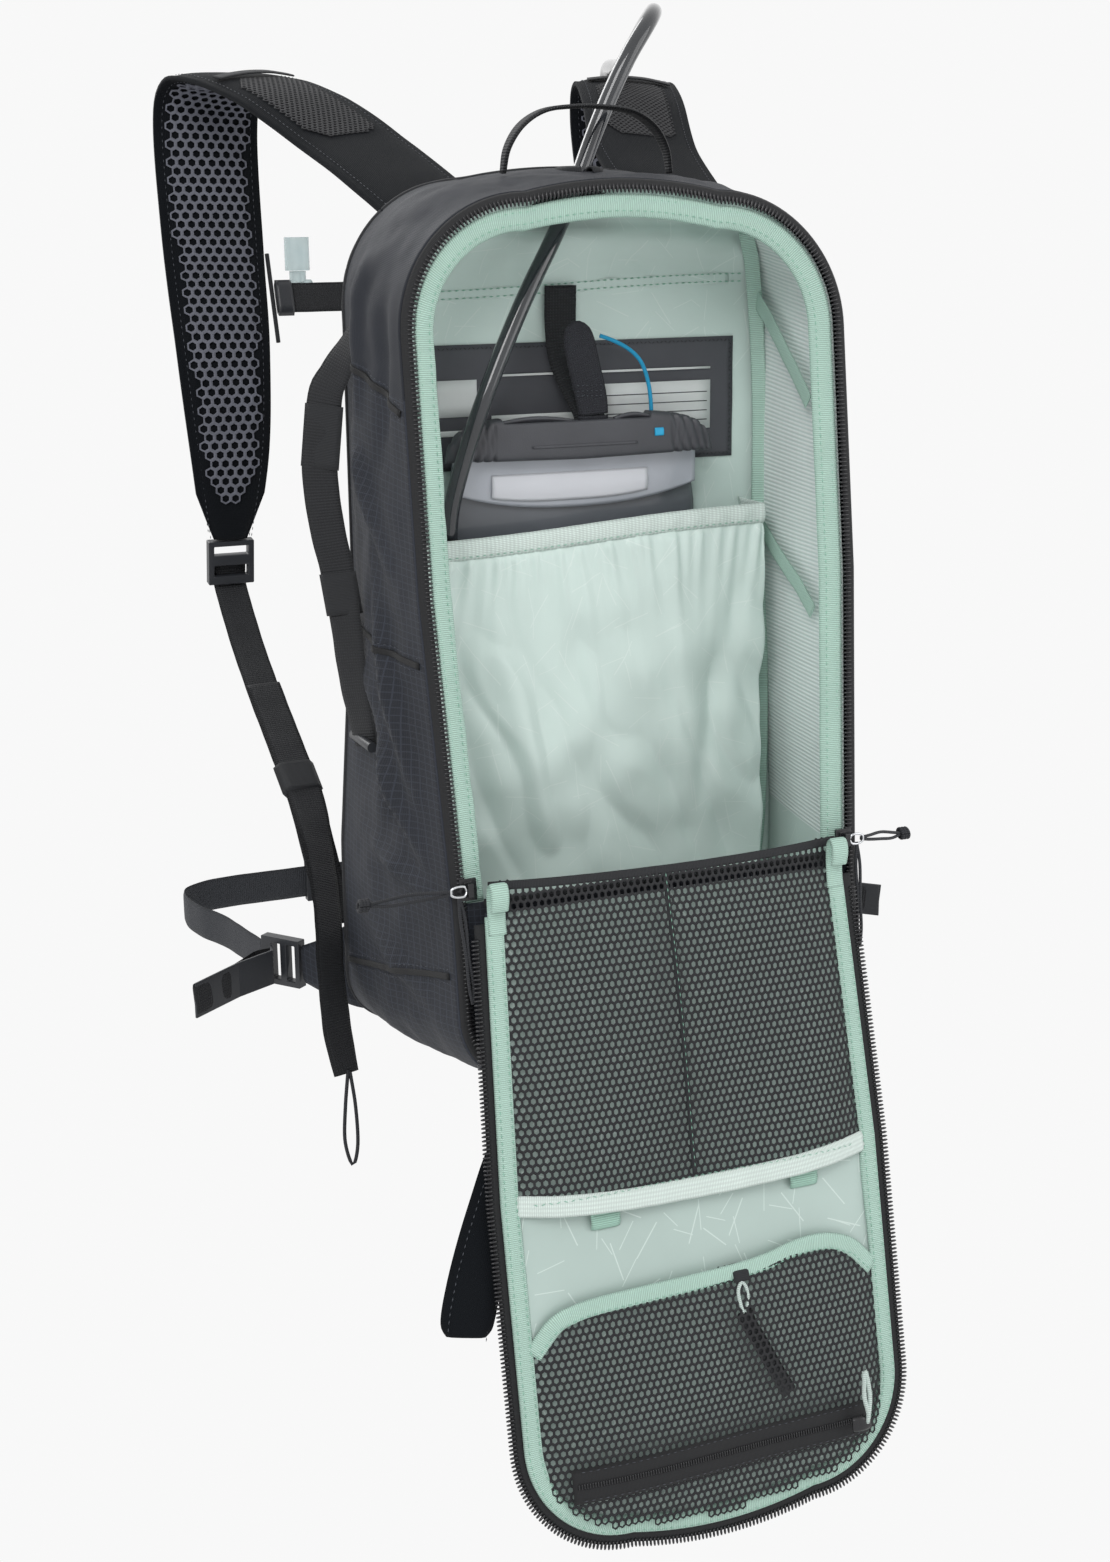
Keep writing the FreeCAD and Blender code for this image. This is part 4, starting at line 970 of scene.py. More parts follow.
flat = zip_line(3.0)
coil_line = part_of(leaning(np.column_stack([flat[:, 0], np.full(len(flat), 2.3), flat[:, 1]])), ZIP_END)
flat_in = zip_line(-1.0)
coil_in = part_of(leaning(np.column_stack([flat_in[:, 0], np.full(len(flat_in), 2.3), flat_in[:, 1]])),
                  ZIP_END)
FRONT = leaning((0.0, 1.0, 0.0)) - leaning((0.0, 0.0, 0.0))
coil = teeth("zip_coil", coil_line, FRONT, coil_in - coil_line, coil_black, pitch=2.1, reach_in=4.4, high=2.0,
             wide=1.35)
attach(coil, "pack")

RIM_PROFILE = [(0.6, -0.2), (-0.8, -0.3), (-2.4, -0.9), (-4.5, -1.7), (-7.0, -2.1), (-BINDING + 0.6, -2.9),
               (-BINDING, -4.0), (-BINDING + 0.8, -5.2)]
rim = outline_band("rim_tape", RIM_PROFILE, mint_tape, -2.0, wobble=1.0, thick=0.7, seed=2.0)
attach(rim, "pack")
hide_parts("rim_binding")
for number, grow in enumerate((-1.8, -7.4)):
    flat = zip_line(grow)
    seam_line = part_of(leaning(np.column_stack([flat[:, 0], np.full(len(flat), -0.8 + grow * 0.15),
                                                 flat[:, 1]])), 2.0)
    thread = stitches("rim_stitches_%d" % number, seam_line, FRONT, thread_mint, lift=0.5)
    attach(thread, "pack")

flat = zip_line(TAPE - 1.9)
edge_line = part_of(leaning(np.column_stack([flat[:, 0], np.full(len(flat), 2.0), flat[:, 1]])), ZIP_END)
edge_thread = stitches("tape_stitches", edge_line, FRONT, thread_black, lift=0.2)
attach(edge_thread, "pack")

# %% [markdown]
# Below the fold the bag has a front wall of its own, and the closed ends of the zip run down it.
# The fold itself is a soft roll of tape that the open panel hangs from.

# %% Lower front, back panel and pads
flat = zip_line(TAPE - 0.5)
low_part = flat[flat[:, 1] <= 1.0]
order = np.argsort(np.arctan2(low_part[:, 0], 200 - low_part[:, 1]))
low_part = low_part[order]
LOW_ROWS = 26
shares = np.linspace(0, 1, LOW_ROWS)
grid = np.zeros((LOW_ROWS, len(low_part), 3))
for i, share in enumerate(shares):
    grid[i, :, 0] = low_part[:, 0]
    grid[i, :, 2] = low_part[:, 1] + (0.0 - low_part[:, 1]) * (1 - share)
grid[..., 1] = 0.4 + soft_noise(grid, 0.03, 21.0) * 1.2
lower_front = cloth("lower_front", leaning(grid), ripstop_shell, 1.2)
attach(lower_front, "pack")
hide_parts("lower_front_panel")

FOLD_HALF = HALF_FOLD - 8.0
fold_line = leaning([(x, FLAP_AXIS, 0.0) for x in np.linspace(-FOLD_HALF, FOLD_HALF, 9)])
fold_roll = cord_mesh("fold_roll", fold_line, 4.0, strap_tape, turns=14)
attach(fold_roll, "pack")

back_flat = back_points(1.0, BACK_Y)
ring_rows = 24
middle = np.array((0.0, BACK_Y, 120.0))
grid = np.stack([middle + (back_flat - middle) * s for s in np.linspace(0.0005, 1.0, ring_rows)])
grid[..., 1] -= 0.8 * np.sin(np.linspace(0, math.pi, ring_rows))[:, None]
back_cloth = closed_cloth("back_cloth", grid, strap_cloth)
solidify(back_cloth, 1.5, 0.0)
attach(back_cloth, "pack")
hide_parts("back_panel")

back_edge = back_points(-0.6, BACK_Y + 0.6)
back_edge = np.vstack([back_edge, back_edge[:1]])
piping = cord_mesh("back_piping", back_edge[::4], 3.2, strap_tape, turns=8)
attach(piping, "pack")

PAD_HIGH = 8.0
PADS = [(x0, x1, z0, z1) for x0, x1 in ((-95.0, -20.0), (20.0, 95.0))
        for z0, z1 in ((-60.0, 60.0), (80.0, 190.0), (210.0, 300.0))]


def pillow(name, x0, x1, z0, z1, finish, rows=36, cols=26):
    """A foam pad under stretched mesh: full in the middle, pulled down at its sewn edge."""
    u = np.linspace(-1, 1, cols)
    v = np.linspace(-1, 1, rows)
    uu, vv = np.meshgrid(u, v)
    corner = 1 - 0.06 * (uu ** 2) * (vv ** 2)
    x = (x0 + x1) / 2 + uu * corner * (x1 - x0) / 2
    z = (z0 + z1) / 2 + vv * corner * (z1 - z0) / 2
    height = (1 - np.abs(uu) ** 5) ** 0.5 * (1 - np.abs(vv) ** 5) ** 0.5
    groove = 1 - 0.25 * np.exp(-((vv * (z1 - z0) / 2) / 3.0) ** 2) * (np.abs(uu) < 0.93)
    y = BACK_Y + 0.6 + (PAD_HIGH - 0.6) * height * groove
    return cloth(name, np.stack([x, y, z], axis=-1), finish)


def pad_net(name, x0, x1, z0, z1):
    """Open spacer mesh over the foam."""
    inset = 6.0
    half_w = (x1 - x0) / 2 - inset
    half_h = (z1 - z0) / 2 - inset

    def place(u, v):
        x = (x0 + x1) / 2 - half_w + u
        z = (z0 + z1) / 2 - half_h + v
        uu = (x - (x0 + x1) / 2) / ((x1 - x0) / 2)
        vv = (z - (z0 + z1) / 2) / ((z1 - z0) / 2)
        height = np.clip(1 - np.abs(uu) ** 5, 0, 1) ** 0.5 * np.clip(1 - np.abs(vv) ** 5, 0, 1) ** 0.5
        groove = 1 - 0.25 * np.exp(-((vv * (z1 - z0) / 2) / 3.0) ** 2)
        return np.stack([x, BACK_Y + 1.1 + (PAD_HIGH - 0.6) * height * groove, z], axis=-1)

    return net(name, place, lambda u, v: 0 < u < 2 * half_w and 0 < v < 2 * half_h, 2 * half_w, 2 * half_h,
               5.2, 1.5, 0.7, hex_grey)


first = None
for number, (x0, x1, z0, z1) in enumerate(PADS):
    pad = pillow("back_pad_%d" % number, x0, x1, z0, z1, foam_dark)
    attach(pad, "pack")
    if first is None:
        first = pad
        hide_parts("back_pads")
    cover = pad_net("back_pad_net_%d" % number, x0, x1, z0, z1)
    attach(cover, "pack")

# %% [markdown]
# ## Inside the bag
# The back lining is a thin coated cloth. It is loose at the top, where a seam and a fold cross it,
# and taut behind the reservoir. The side walls are pale striped mesh, bound with mint tape.

# %% Linings
LINING_Y = 120.0                     # face of the back lining
WALL_IN = 3.6                        # shell's outline to the face of the side lining
INSIDE_ROWS = 90
INSIDE_COLS = 80


def back_lining_grid():
    flat = back_points(WALL_IN, LINING_Y)
    half = flat[:len(flat) // 2 + 1]
    heights = np.linspace(BACK_BOTTOM + WALL_IN + 0.5, BACK_TOP - WALL_IN - 0.5, INSIDE_ROWS)
    order = np.argsort(half[:, 2], kind="stable")
    widths = np.interp(heights, half[order, 2], half[order, 0])
    crest = half[half[:, 2] > BACK_TOP - WALL_IN - CROWN - 2]
    grid = np.zeros((INSIDE_ROWS, INSIDE_COLS, 3))
    spread = np.linspace(-1, 1, INSIDE_COLS)
    grid[..., 0] = spread * np.maximum(widths, 20.0)[:, None]
    grid[..., 1] = LINING_Y
    grid[..., 2] = heights[:, None]
    return grid


def slack(grid, low, high):
    """How loose the cloth is: 0 at low, 1 at high."""
    return np.clip((grid[..., 2] - low) / (high - low), 0, 1)


grid = back_lining_grid()
loose = slack(grid, 262, 300)
grid[..., 1] -= loose * (1.2 + 2.2 * soft_noise(grid, 0.03, 31.0) + 1.4 * soft_noise(grid, 0.08, 33.0))
grid[..., 1] -= 0.5 * (1 - loose) * (0.5 + soft_noise(grid, 0.05, 35.0))
fold_height = 319 - 0.0009 * grid[..., 0] ** 2
grid[..., 1] -= 6.5 * np.exp(-((grid[..., 2] - fold_height - 6 * soft_noise(grid, 0.012, 8.0)) / 6.0) ** 2)
grid[..., 1] -= 3.5 * np.exp(-((grid[..., 2] - 335 + 0.0006 * grid[..., 0] ** 2) / 4.0) ** 2)
back_lining = cloth("back_lining", grid, mint_lining, 0.8, 1.0)
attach(back_lining, "pack")
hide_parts("bag_lining")

SEAM_HEIGHT = 291.0
seam = np.array([(x, LINING_Y, SEAM_HEIGHT + 3 * math.sin(x / 60.0)) for x in np.linspace(-106, 106, 60)])
for spot in seam:
    apart = np.abs(grid[..., 0] - spot[0]) + np.abs(grid[..., 2] - spot[2])
    spot[1] = grid[..., 1].flat[apart.argmin()] - 0.5
welt = strap("lining_welt", seam[::4] + (0, -0.2, 0), 6.0, 1.2, mint_lining, (0.0, 0.0, 1.0))
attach(welt, "pack")
for number, rise in enumerate((-2.0, 2.0)):
    thread = stitches("lining_stitches_%d" % number, seam + (0, -0.8, rise), (0, -1, 0), thread_mint,
                      radius=0.42, lift=0.3)
    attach(thread, "pack")


def wall_grid(side):
    """One side wall, from the rim binding back to the lining."""
    front_flat = zip_line(TAPE - WALL_IN)
    front = leaning(np.column_stack([front_flat[:, 0], np.full(len(front_flat), -3.2), front_flat[:, 1]]))
    back = back_points(WALL_IN, LINING_Y + 0.6)
    count = len(front)
    keep = slice(0, count // 2 + 1)
    a, b = front[keep], back[keep]
    shares = np.linspace(0, 1, 26)[:, None, None]
    grid = a + (b - a) * shares
    depth = np.sin(np.linspace(0, math.pi, 26))[:, None]
    inward = -np.array((1.0, 0.0, 0.0))
    grid = grid + inward * (depth * (1.2 * soft_noise(grid, 0.022, 41.0) + 0.9))[..., None]
    return grid * (side, 1, 1)


for side, word in ((1, "right"), (-1, "left")):
    grid = np.swapaxes(wall_grid(side), 0, 1)
    wall = cloth("wall_" + word, grid, striped_wall, 0.7)
    wall.data.materials.append(mint_lining)
    for face in wall.data.polygons:
        place = np.array(face.center) / MM - FOLD
        on_top = place[2] > 322 or abs(place[0]) < 75
        if on_top or place[2] < 0:
            face.material_index = 1
    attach(wall, "pack")

# %% [markdown]
# Mint tape covers the seams inside: one strip down each side where wall and back meet, and two
# slanting strips on each wall.

# %% Inner tapes
INNER_SEAM = [(107.0, 108.0, -60), (115, 112, -10), (116, 112.5, 60), (113, 113, 150), (112, 113, 230),
              (107, 112, 292),
              (99, 106, 318)]
SLANT_HIGH = [(109.5, 115, 284), (108.6, 92, 268), (108.2, 66, 246), (107.8, 50, 232)]
SLANT_LOW = [(111.5, 112, 163), (109.8, 86, 148), (109.2, 60, 134), (108.6, 42, 122)]
number = 0
for side in (1, -1):
    for line, across, wide in ((INNER_SEAM, (1.0, -0.6, 0.0), 8.0), (SLANT_HIGH, (0.0, -0.6, 1.0), 9.5),
                               (SLANT_LOW, (0.0, -0.6, 1.0), 9.5)):
        tape = strap("inner_tape_%d" % number, line, wide, 0.9, mint_tape, across, flip=side, waves=0.2)
        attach(tape, "pack")
        if number == 0:
            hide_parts("inner_bindings")
        number += 1

# %% [markdown]
# A dark patch is sewn across the lining. On many packs a printed card sits here; this one stays
# blank, with plain ruled boxes to write in and a zigzag seam round it.

# %% Patch
PATCH_X = (-80.0, 98.0)
PATCH_Z = (198.0, 263.0)
PATCH_OUT = 118.3


def flat_grid(x0, x1, z0, z1, y, cols=40, rows=20, bow=0.0):
    xx, zz = np.meshgrid(np.linspace(x0, x1, cols), np.linspace(z0, z1, rows))
    yy = np.full(xx.shape, y) - bow * np.sin(math.pi * np.linspace(0, 1, rows))[:, None]
    return np.stack([xx, yy, zz], axis=-1)


grid = flat_grid(*PATCH_X, *PATCH_Z, PATCH_OUT)
grid[..., 1] -= 0.35 * soft_noise(grid, 0.05, 51.0)
patch = cloth("blank_patch", grid, patch_cloth, 0.6)
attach(patch, "pack")
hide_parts("label_patch")
write_white = new_finish("write_white", 0.6)
paint(write_white, between(write_white, cloudy(write_white, 50.0), tint(206, 210, 210), tint(224, 227, 226)))
rule_dark = new_finish("rule_dark", 0.6)
paint(rule_dark, between(rule_dark, cloudy(rule_dark, 50.0), tint(60, 62, 66), tint(84, 86, 90)))
BOXES = [(-76, -52, 226, 245, write_white), (-44, 16, 221, 226, write_white), (20, 84, 214, 240, write_white),
         (-44, 84, 246, 247.2, write_white), (-76, -52, 216, 219, write_white)]
for number, (x0, x1, z0, z1, finish) in enumerate(BOXES):
    field = cloth("write_field_%d" % number, flat_grid(x0, x1, z0, z1, PATCH_OUT - 1.15, 8, 4), finish, 0.12)
    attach(field, "pack")
for number in range(4):
    z = 233.5 - number * 5.0
    rule = cloth("write_rule_%d" % number, flat_grid(22, 82, z, z + 0.5, PATCH_OUT - 1.28, 8, 2), rule_dark,
                 0.1)
    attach(rule, "pack")
edge = np.array([(PATCH_X[0], PATCH_OUT, z) for z in np.linspace(PATCH_Z[0] + 2, PATCH_Z[1] - 2, 12)]
                + [(x, PATCH_OUT, PATCH_Z[1] - 2) for x in np.linspace(PATCH_X[0] + 2, PATCH_X[1] - 2, 30)]
                + [(PATCH_X[1] - 2, PATCH_OUT, z) for z in np.linspace(PATCH_Z[1] - 2, PATCH_Z[0] + 2, 12)]
                + [(x, PATCH_OUT, PATCH_Z[0] + 2) for x in np.linspace(PATCH_X[1] - 2, PATCH_X[0] + 2, 30)])
thread = stitches("patch_stitches", edge, (0, -1, 0), thread_dark, length=2.0, gap=0.4, lift=0.9, zigzag=0.8)
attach(thread, "pack")

# %% [markdown]
# ## Sleeve and reservoir
# The sleeve is a loose bag of lining sewn to the back at both sides, gathered under an elastic.
# Gathers are ripples that are strong under the elastic and fade as they run down, each with its
# own length. Below, the cloth hangs in a few large soft folds over the reservoir.

# %% Sleeve
SLEEVE_LOW = -78.0
SLEEVE_TOP = 160.0
SLEEVE_HALF = 103.0
SLEEVE_SLOPE = 0.045
ELASTIC_HIGH = 10.5
SLEEVE_COLS = 200
SLEEVE_ROWS = 110


def sleeve_front(z):
    return 84.5 + (z - SLEEVE_LOW) / (SLEEVE_TOP - SLEEVE_LOW) * 5.0


def sleeve_path(share, z, half=SLEEVE_HALF):
    """Across the sleeve from one sewn side to the other: (x, y), share from 0 to 1."""
    front = sleeve_front(z)
    side_run = LINING_Y - 0.8 - front
    flat_run = 2 * half
    total = flat_run + 2 * side_run
    s = share * total
    x = np.clip(s - side_run, 0, flat_run) - half
    lift = np.clip(s / side_run, 0, 1) * np.clip((total - s) / side_run, 0, 1)
    y = LINING_Y - 0.8 - side_run * np.sin(lift * math.pi / 2) ** 0.8
    return x, y


rng = np.random.default_rng(7)
GATHERS = 38
gather_at = np.cumsum(rng.uniform(0.5, 1.9, GATHERS))
gather_at = gather_at / gather_at[-1]
gather_deep = rng.uniform(0.25, 1.0, GATHERS)
gather_long = rng.uniform(12.0, 62.0, GATHERS)


def gathers(share, below):
    """Depth of the ripples at a share across the sleeve and a distance below the elastic."""
    total = np.zeros(np.broadcast(share, below).shape)
    for at, deep, long in zip(gather_at, gather_deep, gather_long):
        wide = 0.0062 + 0.012 * np.clip(below / 60.0, 0, 1)
        total = total + deep * np.exp(-((share - at) / wide) ** 2) * np.exp(-below / long)
    return total


share = np.linspace(0, 1, SLEEVE_COLS)[None, :]
heights = SLEEVE_LOW + (SLEEVE_TOP + 1.0 - SLEEVE_LOW) * np.linspace(0, 1, SLEEVE_ROWS)[:, None] ** 0.8
x, y = sleeve_path(share + 0 * heights, heights + 0 * share)
below = SLEEVE_TOP - heights
grid = np.stack([x, y, heights + 0 * x], axis=-1)
front_only = np.clip((LINING_Y - y) / 20.0, 0, 1)
belly = np.sin(math.pi * np.clip((heights - SLEEVE_LOW) / (SLEEVE_TOP - SLEEVE_LOW), 0, 1)) ** 0.8
round_x = np.clip(1 - (x / 92.0) ** 2, 0, 1)
push = -4.2 * gathers(share + 0.0006 * (below - 20) * np.sin(share * 9),
                      np.maximum(below, 0)) * np.clip(below / 4.0, 0.25, 1)
creased = np.abs(soft_noise(grid * (1.0, 1.0, 0.45) + grid[..., [2, 1, 0]] * (0.3, 0, 0), 0.038, 67.0))
push = push + 9.0 * belly * np.clip(0.32 - creased, 0, 1)
push = push - belly * (3.0 * round_x + 6.0 * soft_noise(grid, 0.012, 61.0) + 3.2
                       * soft_noise(grid, 0.035, 63.0))
for start, end, wide, deep in (((-62, 85, 150), (-20, 85, -30), 8, 4.4), ((-6, 85, 150), (4, 85, 40), 6, 3.0),
                               ((40, 85, 148), (66, 85, 10), 9, 4.2), ((88, 85, 150), (58, 85, -20), 7, -4.2),
                               ((-90, 85, 140), (-60, 85, 0), 9, -3.2),
                               ((10, 85, 110), (52, 85, 60), 10, 2.6),
                               ((-40, 85, 60), (30, 85, -40), 12, 3.2)):
    push = push - pulled_fold(grid, start, end, wide, deep)
grid[..., 1] += push * front_only
grid[..., 1] = np.maximum(grid[..., 1], 74.0)
grid[..., 2] += (1.0 * np.sin(x / 34.0) + SLEEVE_SLOPE * x) * np.clip(1 - below / 90.0, 0, 1)
sleeve = cloth("sleeve_cloth", grid, sleeve_lining, 0.5)
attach(sleeve, "pack")
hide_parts("hydration_sleeve")

rows = np.linspace(0, 1, 8)[:, None]
x, y = sleeve_path(share + 0 * rows, SLEEVE_TOP + 0 * (share + rows))
grid = np.stack([x, y - 1.4 * np.sin(math.pi * rows) ** 0.6 - 0.5,
                 SLEEVE_TOP - 0.5 + ELASTIC_HIGH * rows + 0 * x], axis=-1)
grid[..., 1] -= 0.5 * np.sin(x / 2.3) * np.sin(math.pi * rows)
grid[..., 2] += 1.0 * np.sin(x / 34.0) + SLEEVE_SLOPE * x
elastic = cloth("sleeve_elastic", grid, mint_elastic, 1.0)
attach(elastic, "pack")
line = grid[1, 24:-24] + (0, -0.3, 0)
thread = stitches("elastic_stitches", line, (0, -1, 0), thread_mint, lift=0.4)
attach(thread, "pack")
print("sleeve gathers", len(gather_at))

# %% [markdown]
# The reservoir is a smoky film bag. Its mouth is folded over and closed by a sliding moulded bar,
# so a paler doubled film shows under the bar, cut in a shallow curve. The bar is thick at its
# middle, tapers to its ends and is ribbed there for grip.

# %% Reservoir and closure bar
BLADDER_HALF = 72.0
BLADDER_FRONT = 107.8
BAR_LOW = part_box("closure_bar")[0][2] / MM - FOLD[2] - 2.0
BAR_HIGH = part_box("closure_bar")[1][2] / MM - FOLD[2] + 3.5
BAR_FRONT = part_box("closure_bar")[0][1] / MM - FOLD[1]
BAR_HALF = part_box("closure_bar")[1][0] / MM - FOLD[0]
FILM_LOW = 177.0


def bladder_sheet():
    rows, cols = 60, 50
    v = np.linspace(0, 1, rows)[:, None]
    u = np.linspace(-1, 1, cols)[None, :]
    z = -70.0 + 274.0 * v
    half = BLADDER_HALF * (1 - 0.25 * np.clip((0.05 - v) / 0.05, 0, 1) - 0.06
                           * np.clip((v - 0.9) / 0.1, 0, 1))
    x = u * half
    full = np.clip(1 - np.abs(u) ** 3, 0, 1) ** 0.6 * np.clip(np.sin(math.pi * np.clip(v, 0.0, 1.0)), 0,
                                                              1) ** 0.3
    grid = np.stack([x, 113.5 + 0 * x, z + 0 * x], axis=-1)
    grid[..., 1] -= full * (5.4 + 0.8 * soft_noise(grid, 0.03, 71.0))
    return grid


bladder = cloth("reservoir_bag", bladder_sheet(), film_smoke, 1.2, 0.0)
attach(bladder, "pack")
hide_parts("reservoir_bladder")

rows, cols = 16, 50
u = np.linspace(-1, 1, cols)[None, :]
v = np.linspace(0, 1, rows)[:, None]
low = FILM_LOW + 10.0 * np.abs(u) ** 2.4
grid = np.stack([u * 70.0 + 0 * v, 106.9 - 1.2 * np.sin(math.pi * v) * (1 - u ** 4), low + (206.0 - low) * v],
                axis=-1)
folded = cloth("folded_film", grid, film_pale, 0.5)
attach(folded, "pack")
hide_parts("reservoir_fittings")
v = np.linspace(0, 1, 10)[:, None]
u = np.linspace(-1, 1, 40)[None, :]
low = FILM_LOW + 4.0 + 3.0 * np.abs(u) ** 3
grid = np.stack([-4 + u * 45.0 + 0 * v, 105.6 - 0.8 * np.sin(math.pi * v) + 0 * u, low + (196.0 - low) * v],
                axis=-1)
tongue = cloth("film_window", grid, film_white, 0.4)
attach(tongue, "pack")

BAR_STATIONS = 180
SLOT_X = (-46.0, 38.0)
DEEP = BLADDER_FRONT - 1.5 - BAR_FRONT


def bar_grid():
    """Rings of the bar along X: a rounded block whose height tapers to its ends."""
    xs = np.linspace(-BAR_HALF, BAR_HALF, BAR_STATIONS)
    rings = []
    for x in xs:
        end = abs(x) / BAR_HALF
        taper = (1 - end ** 10) ** 0.5
        height = (BAR_HIGH - BAR_LOW) * (0.72 + 0.28 * (1 - end ** 2.2)) * max(taper, 0.12)
        low = BAR_LOW + (BAR_HIGH - BAR_LOW) * 0.06 * end
        ribbed_end = 0.66 < end < 0.96
        ring_points = []
        for a in np.linspace(0, 2 * math.pi, 28, endpoint=False):
            ca, sa = math.cos(a), math.sin(a)
            y = math.copysign(abs(ca) ** 0.45, ca) * DEEP / 2 * max(taper, 0.3)
            z = math.copysign(abs(sa) ** 0.4, sa) * height / 2
            pinch = 1.5 * max(math.sin((x + z * 0.35 * math.copysign(1.0, x)) * 2 * math.pi / 5.4),
                              0.0) if ribbed_end else 0.0
            y += math.copysign(min(pinch, abs(y)), -y)
            z -= math.copysign(min(pinch * 0.4, abs(z)), z)
            ring_points.append((x, BAR_FRONT + DEEP / 2 + y, low + height / 2 + z))
        rings.append(ring_points)
    grid = np.array(rings)
    in_slot = (grid[..., 0] > SLOT_X[0]) & (grid[..., 0] < SLOT_X[1]) & (grid[..., 2] > BAR_HIGH - 9.0)
    grid[..., 2] = np.where(in_slot, np.minimum(grid[..., 2], BAR_HIGH - 4.0), grid[..., 2])
    return grid


grid = bar_grid()
verts = grid.reshape(-1, 3)
faces = [list(f) for f in grid_faces(BAR_STATIONS, 28, wrap=True)]
faces += [list(range(28))[::-1], [(BAR_STATIONS - 1) * 28 + k for k in range(28)]]
bar = new_piece("closure_bar_body", row(verts), faces, verts[:, [0, 2]] * MM, bar_grey)
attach(bar, "closure_bar")
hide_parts("closure_bar")
for number, (x0, x1) in enumerate(((SLOT_X[0] - 2, -6.0), (18.0, SLOT_X[1] + 2))):
    line = [(x, BAR_FRONT + 3.4, BAR_HIGH - 5.0 + 2.2 * math.sin(math.pi * (x - x0) / (x1 - x0)))
            for x in np.linspace(x0, x1, 6)]
    rib = strap("bar_rail_%d" % number, line, 3.0, 3.6, bar_grey, (0.0, 1.0, 0.0), step=1.5)
    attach(rib, "closure_bar")
line = [(x, BAR_FRONT - 0.1, (BAR_LOW + BAR_HIGH) / 2 + 0.5) for x in (40.0, 42.5, 45.0)]
button = strap("bar_button", line, 4.4, 2.0, button_blue, (0.0, 0.0, 1.0), step=0.6)
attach(button, "closure_bar")
frame_line = [(x, BAR_FRONT - 0.2, (BAR_LOW + BAR_HIGH) / 2 - 4.5) for x in np.linspace(-30, 30, 6)]
ridge = strap("bar_ridge", frame_line, 1.4, 0.9, bar_grey, (0.0, 0.0, 1.0), step=2.0)
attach(ridge, "closure_bar")

# %% [markdown]
# The hanger is a sewn strap that drops behind a hook-and-loop tab. The tab comes up out of the
# bar's slot, leans over the strap and sticks to it: a wide strip with a round end.

# %% Hanger
HANGER_FRONT = 98.1
base_line = [(-5, 115.0, 292), (-5, 115.4, 284), (-5, 115.6, 272), (-4, 113.8, 256), (0, 111.0, 243),
             (4, 105.0, 231), (6, 99.5, 221)]
hanger_base = strap("hanger_strap", base_line, 18.0, 1.6, webbing, step=2.0)
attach(hanger_base, "pack")
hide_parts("hanger_base")
tab_line = [(6, HANGER_FRONT, 226), (5.5, HANGER_FRONT, 232), (3, HANGER_FRONT - 0.8, 242),
            (0, HANGER_FRONT - 1.0, 254),
            (-2, HANGER_FRONT - 0.7, 264), (-3, HANGER_FRONT - 0.4, 270), (-3.2, HANGER_FRONT - 0.3, 273),
            (-3.3, HANGER_FRONT - 0.3, 274.4)]
tab_widths = [17.0, 17.5, 18.0, 18.0, 17.5, 14.5, 9.5, 3.5]
hook_cloth = woven("hook_cloth", tint(46, 47, 52), pitch=1.3, roughness=0.9, depth=0.5)
tab = strap("hanger_tab_strip", tab_line, tab_widths, 1.8, hook_cloth, step=1.2)
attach(tab, "hanger_tab")
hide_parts("hanger_tab")
root_line = [(6, HANGER_FRONT, 214.5), (6, HANGER_FRONT, 220), (6, HANGER_FRONT, 225.4)]
root = strap("hanger_root", root_line, 17.0, 1.8, hook_cloth, step=1.5)
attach(root, "pack")
for number, z in enumerate((236.0, 238.6, 241.4)):
    line = np.array([(x, HANGER_FRONT - 1.6, z) for x in np.linspace(-5, 13, 9)])
    thread = stitches("hanger_stitches_%d" % number, line, (0, -1, 0), thread_black, length=1.8, gap=0.8,
                      lift=0.2)
    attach(thread, "hanger_tab")

# %% [markdown]
# ## Cords
# A cord keeps the points of its route in one list, the same as the model's, and a smooth curve
# runs by them. The hose leaves the reservoir, passes in front of the bar, goes out through the
# port, arches over the right shoulder and ends at the bite valve on the chest strap.

# %% Hose, valve and lanyard
HOSE = 9.0
HOSE_ROUTE = [(-40, 101.8, -8), (-40, 101.8, 26), (-46, 102.2, 60), (-56, 102.4, 92), (-67, 102, 122),
              (-75, 100, 150), (-77, 95, 178), (-71, 88, 206), (-62, 86, 232), (-49, 88, 260), (-33, 92, 290),
              (-14, 99, 318), (2, 107, 345), (14, 110, 372), (30, 110, 404), (46, 115, 424), (60, 138, 432),
              (74, 178, 430), (86, 222, 421), (97, 264, 411), (109, 304, 414), (121, 340, 416),
              (131, 364, 396), (134, 368, 365), (130, 364, 334), (118, 358, 306), (94, 353, 290),
              (62, 347, 284), (24, 346, 285), (-14, 347, 282), (-48, 346, 284), (-74, 346, 284)]
LANYARD = 2.2
LANYARD_ROUTE = [(42, 103.1, 224), (42, 103.1, 240), (33, 105.1, 260), (14, 107.1, 266)]


def cord_curve(name, route, diameter, finish):
    curve = bpy.data.curves.new(name, "CURVE")
    curve.dimensions = "3D"
    curve.bevel_depth = diameter / 2 * MM
    curve.bevel_resolution = 6
    curve.resolution_u = 10
    curve.use_fill_caps = True
    spline = curve.splines.new("NURBS")
    spline.points.add(len(route) - 1)
    for point, place in zip(spline.points, row(route)):
        point.co = (place[0], place[1], place[2], 1.0)
    spline.order_u = 3
    spline.use_endpoint_u = True
    curve.materials.append(finish)
    piece = bpy.data.objects.new(name, curve)
    bpy.context.scene.collection.objects.link(piece)
    return piece


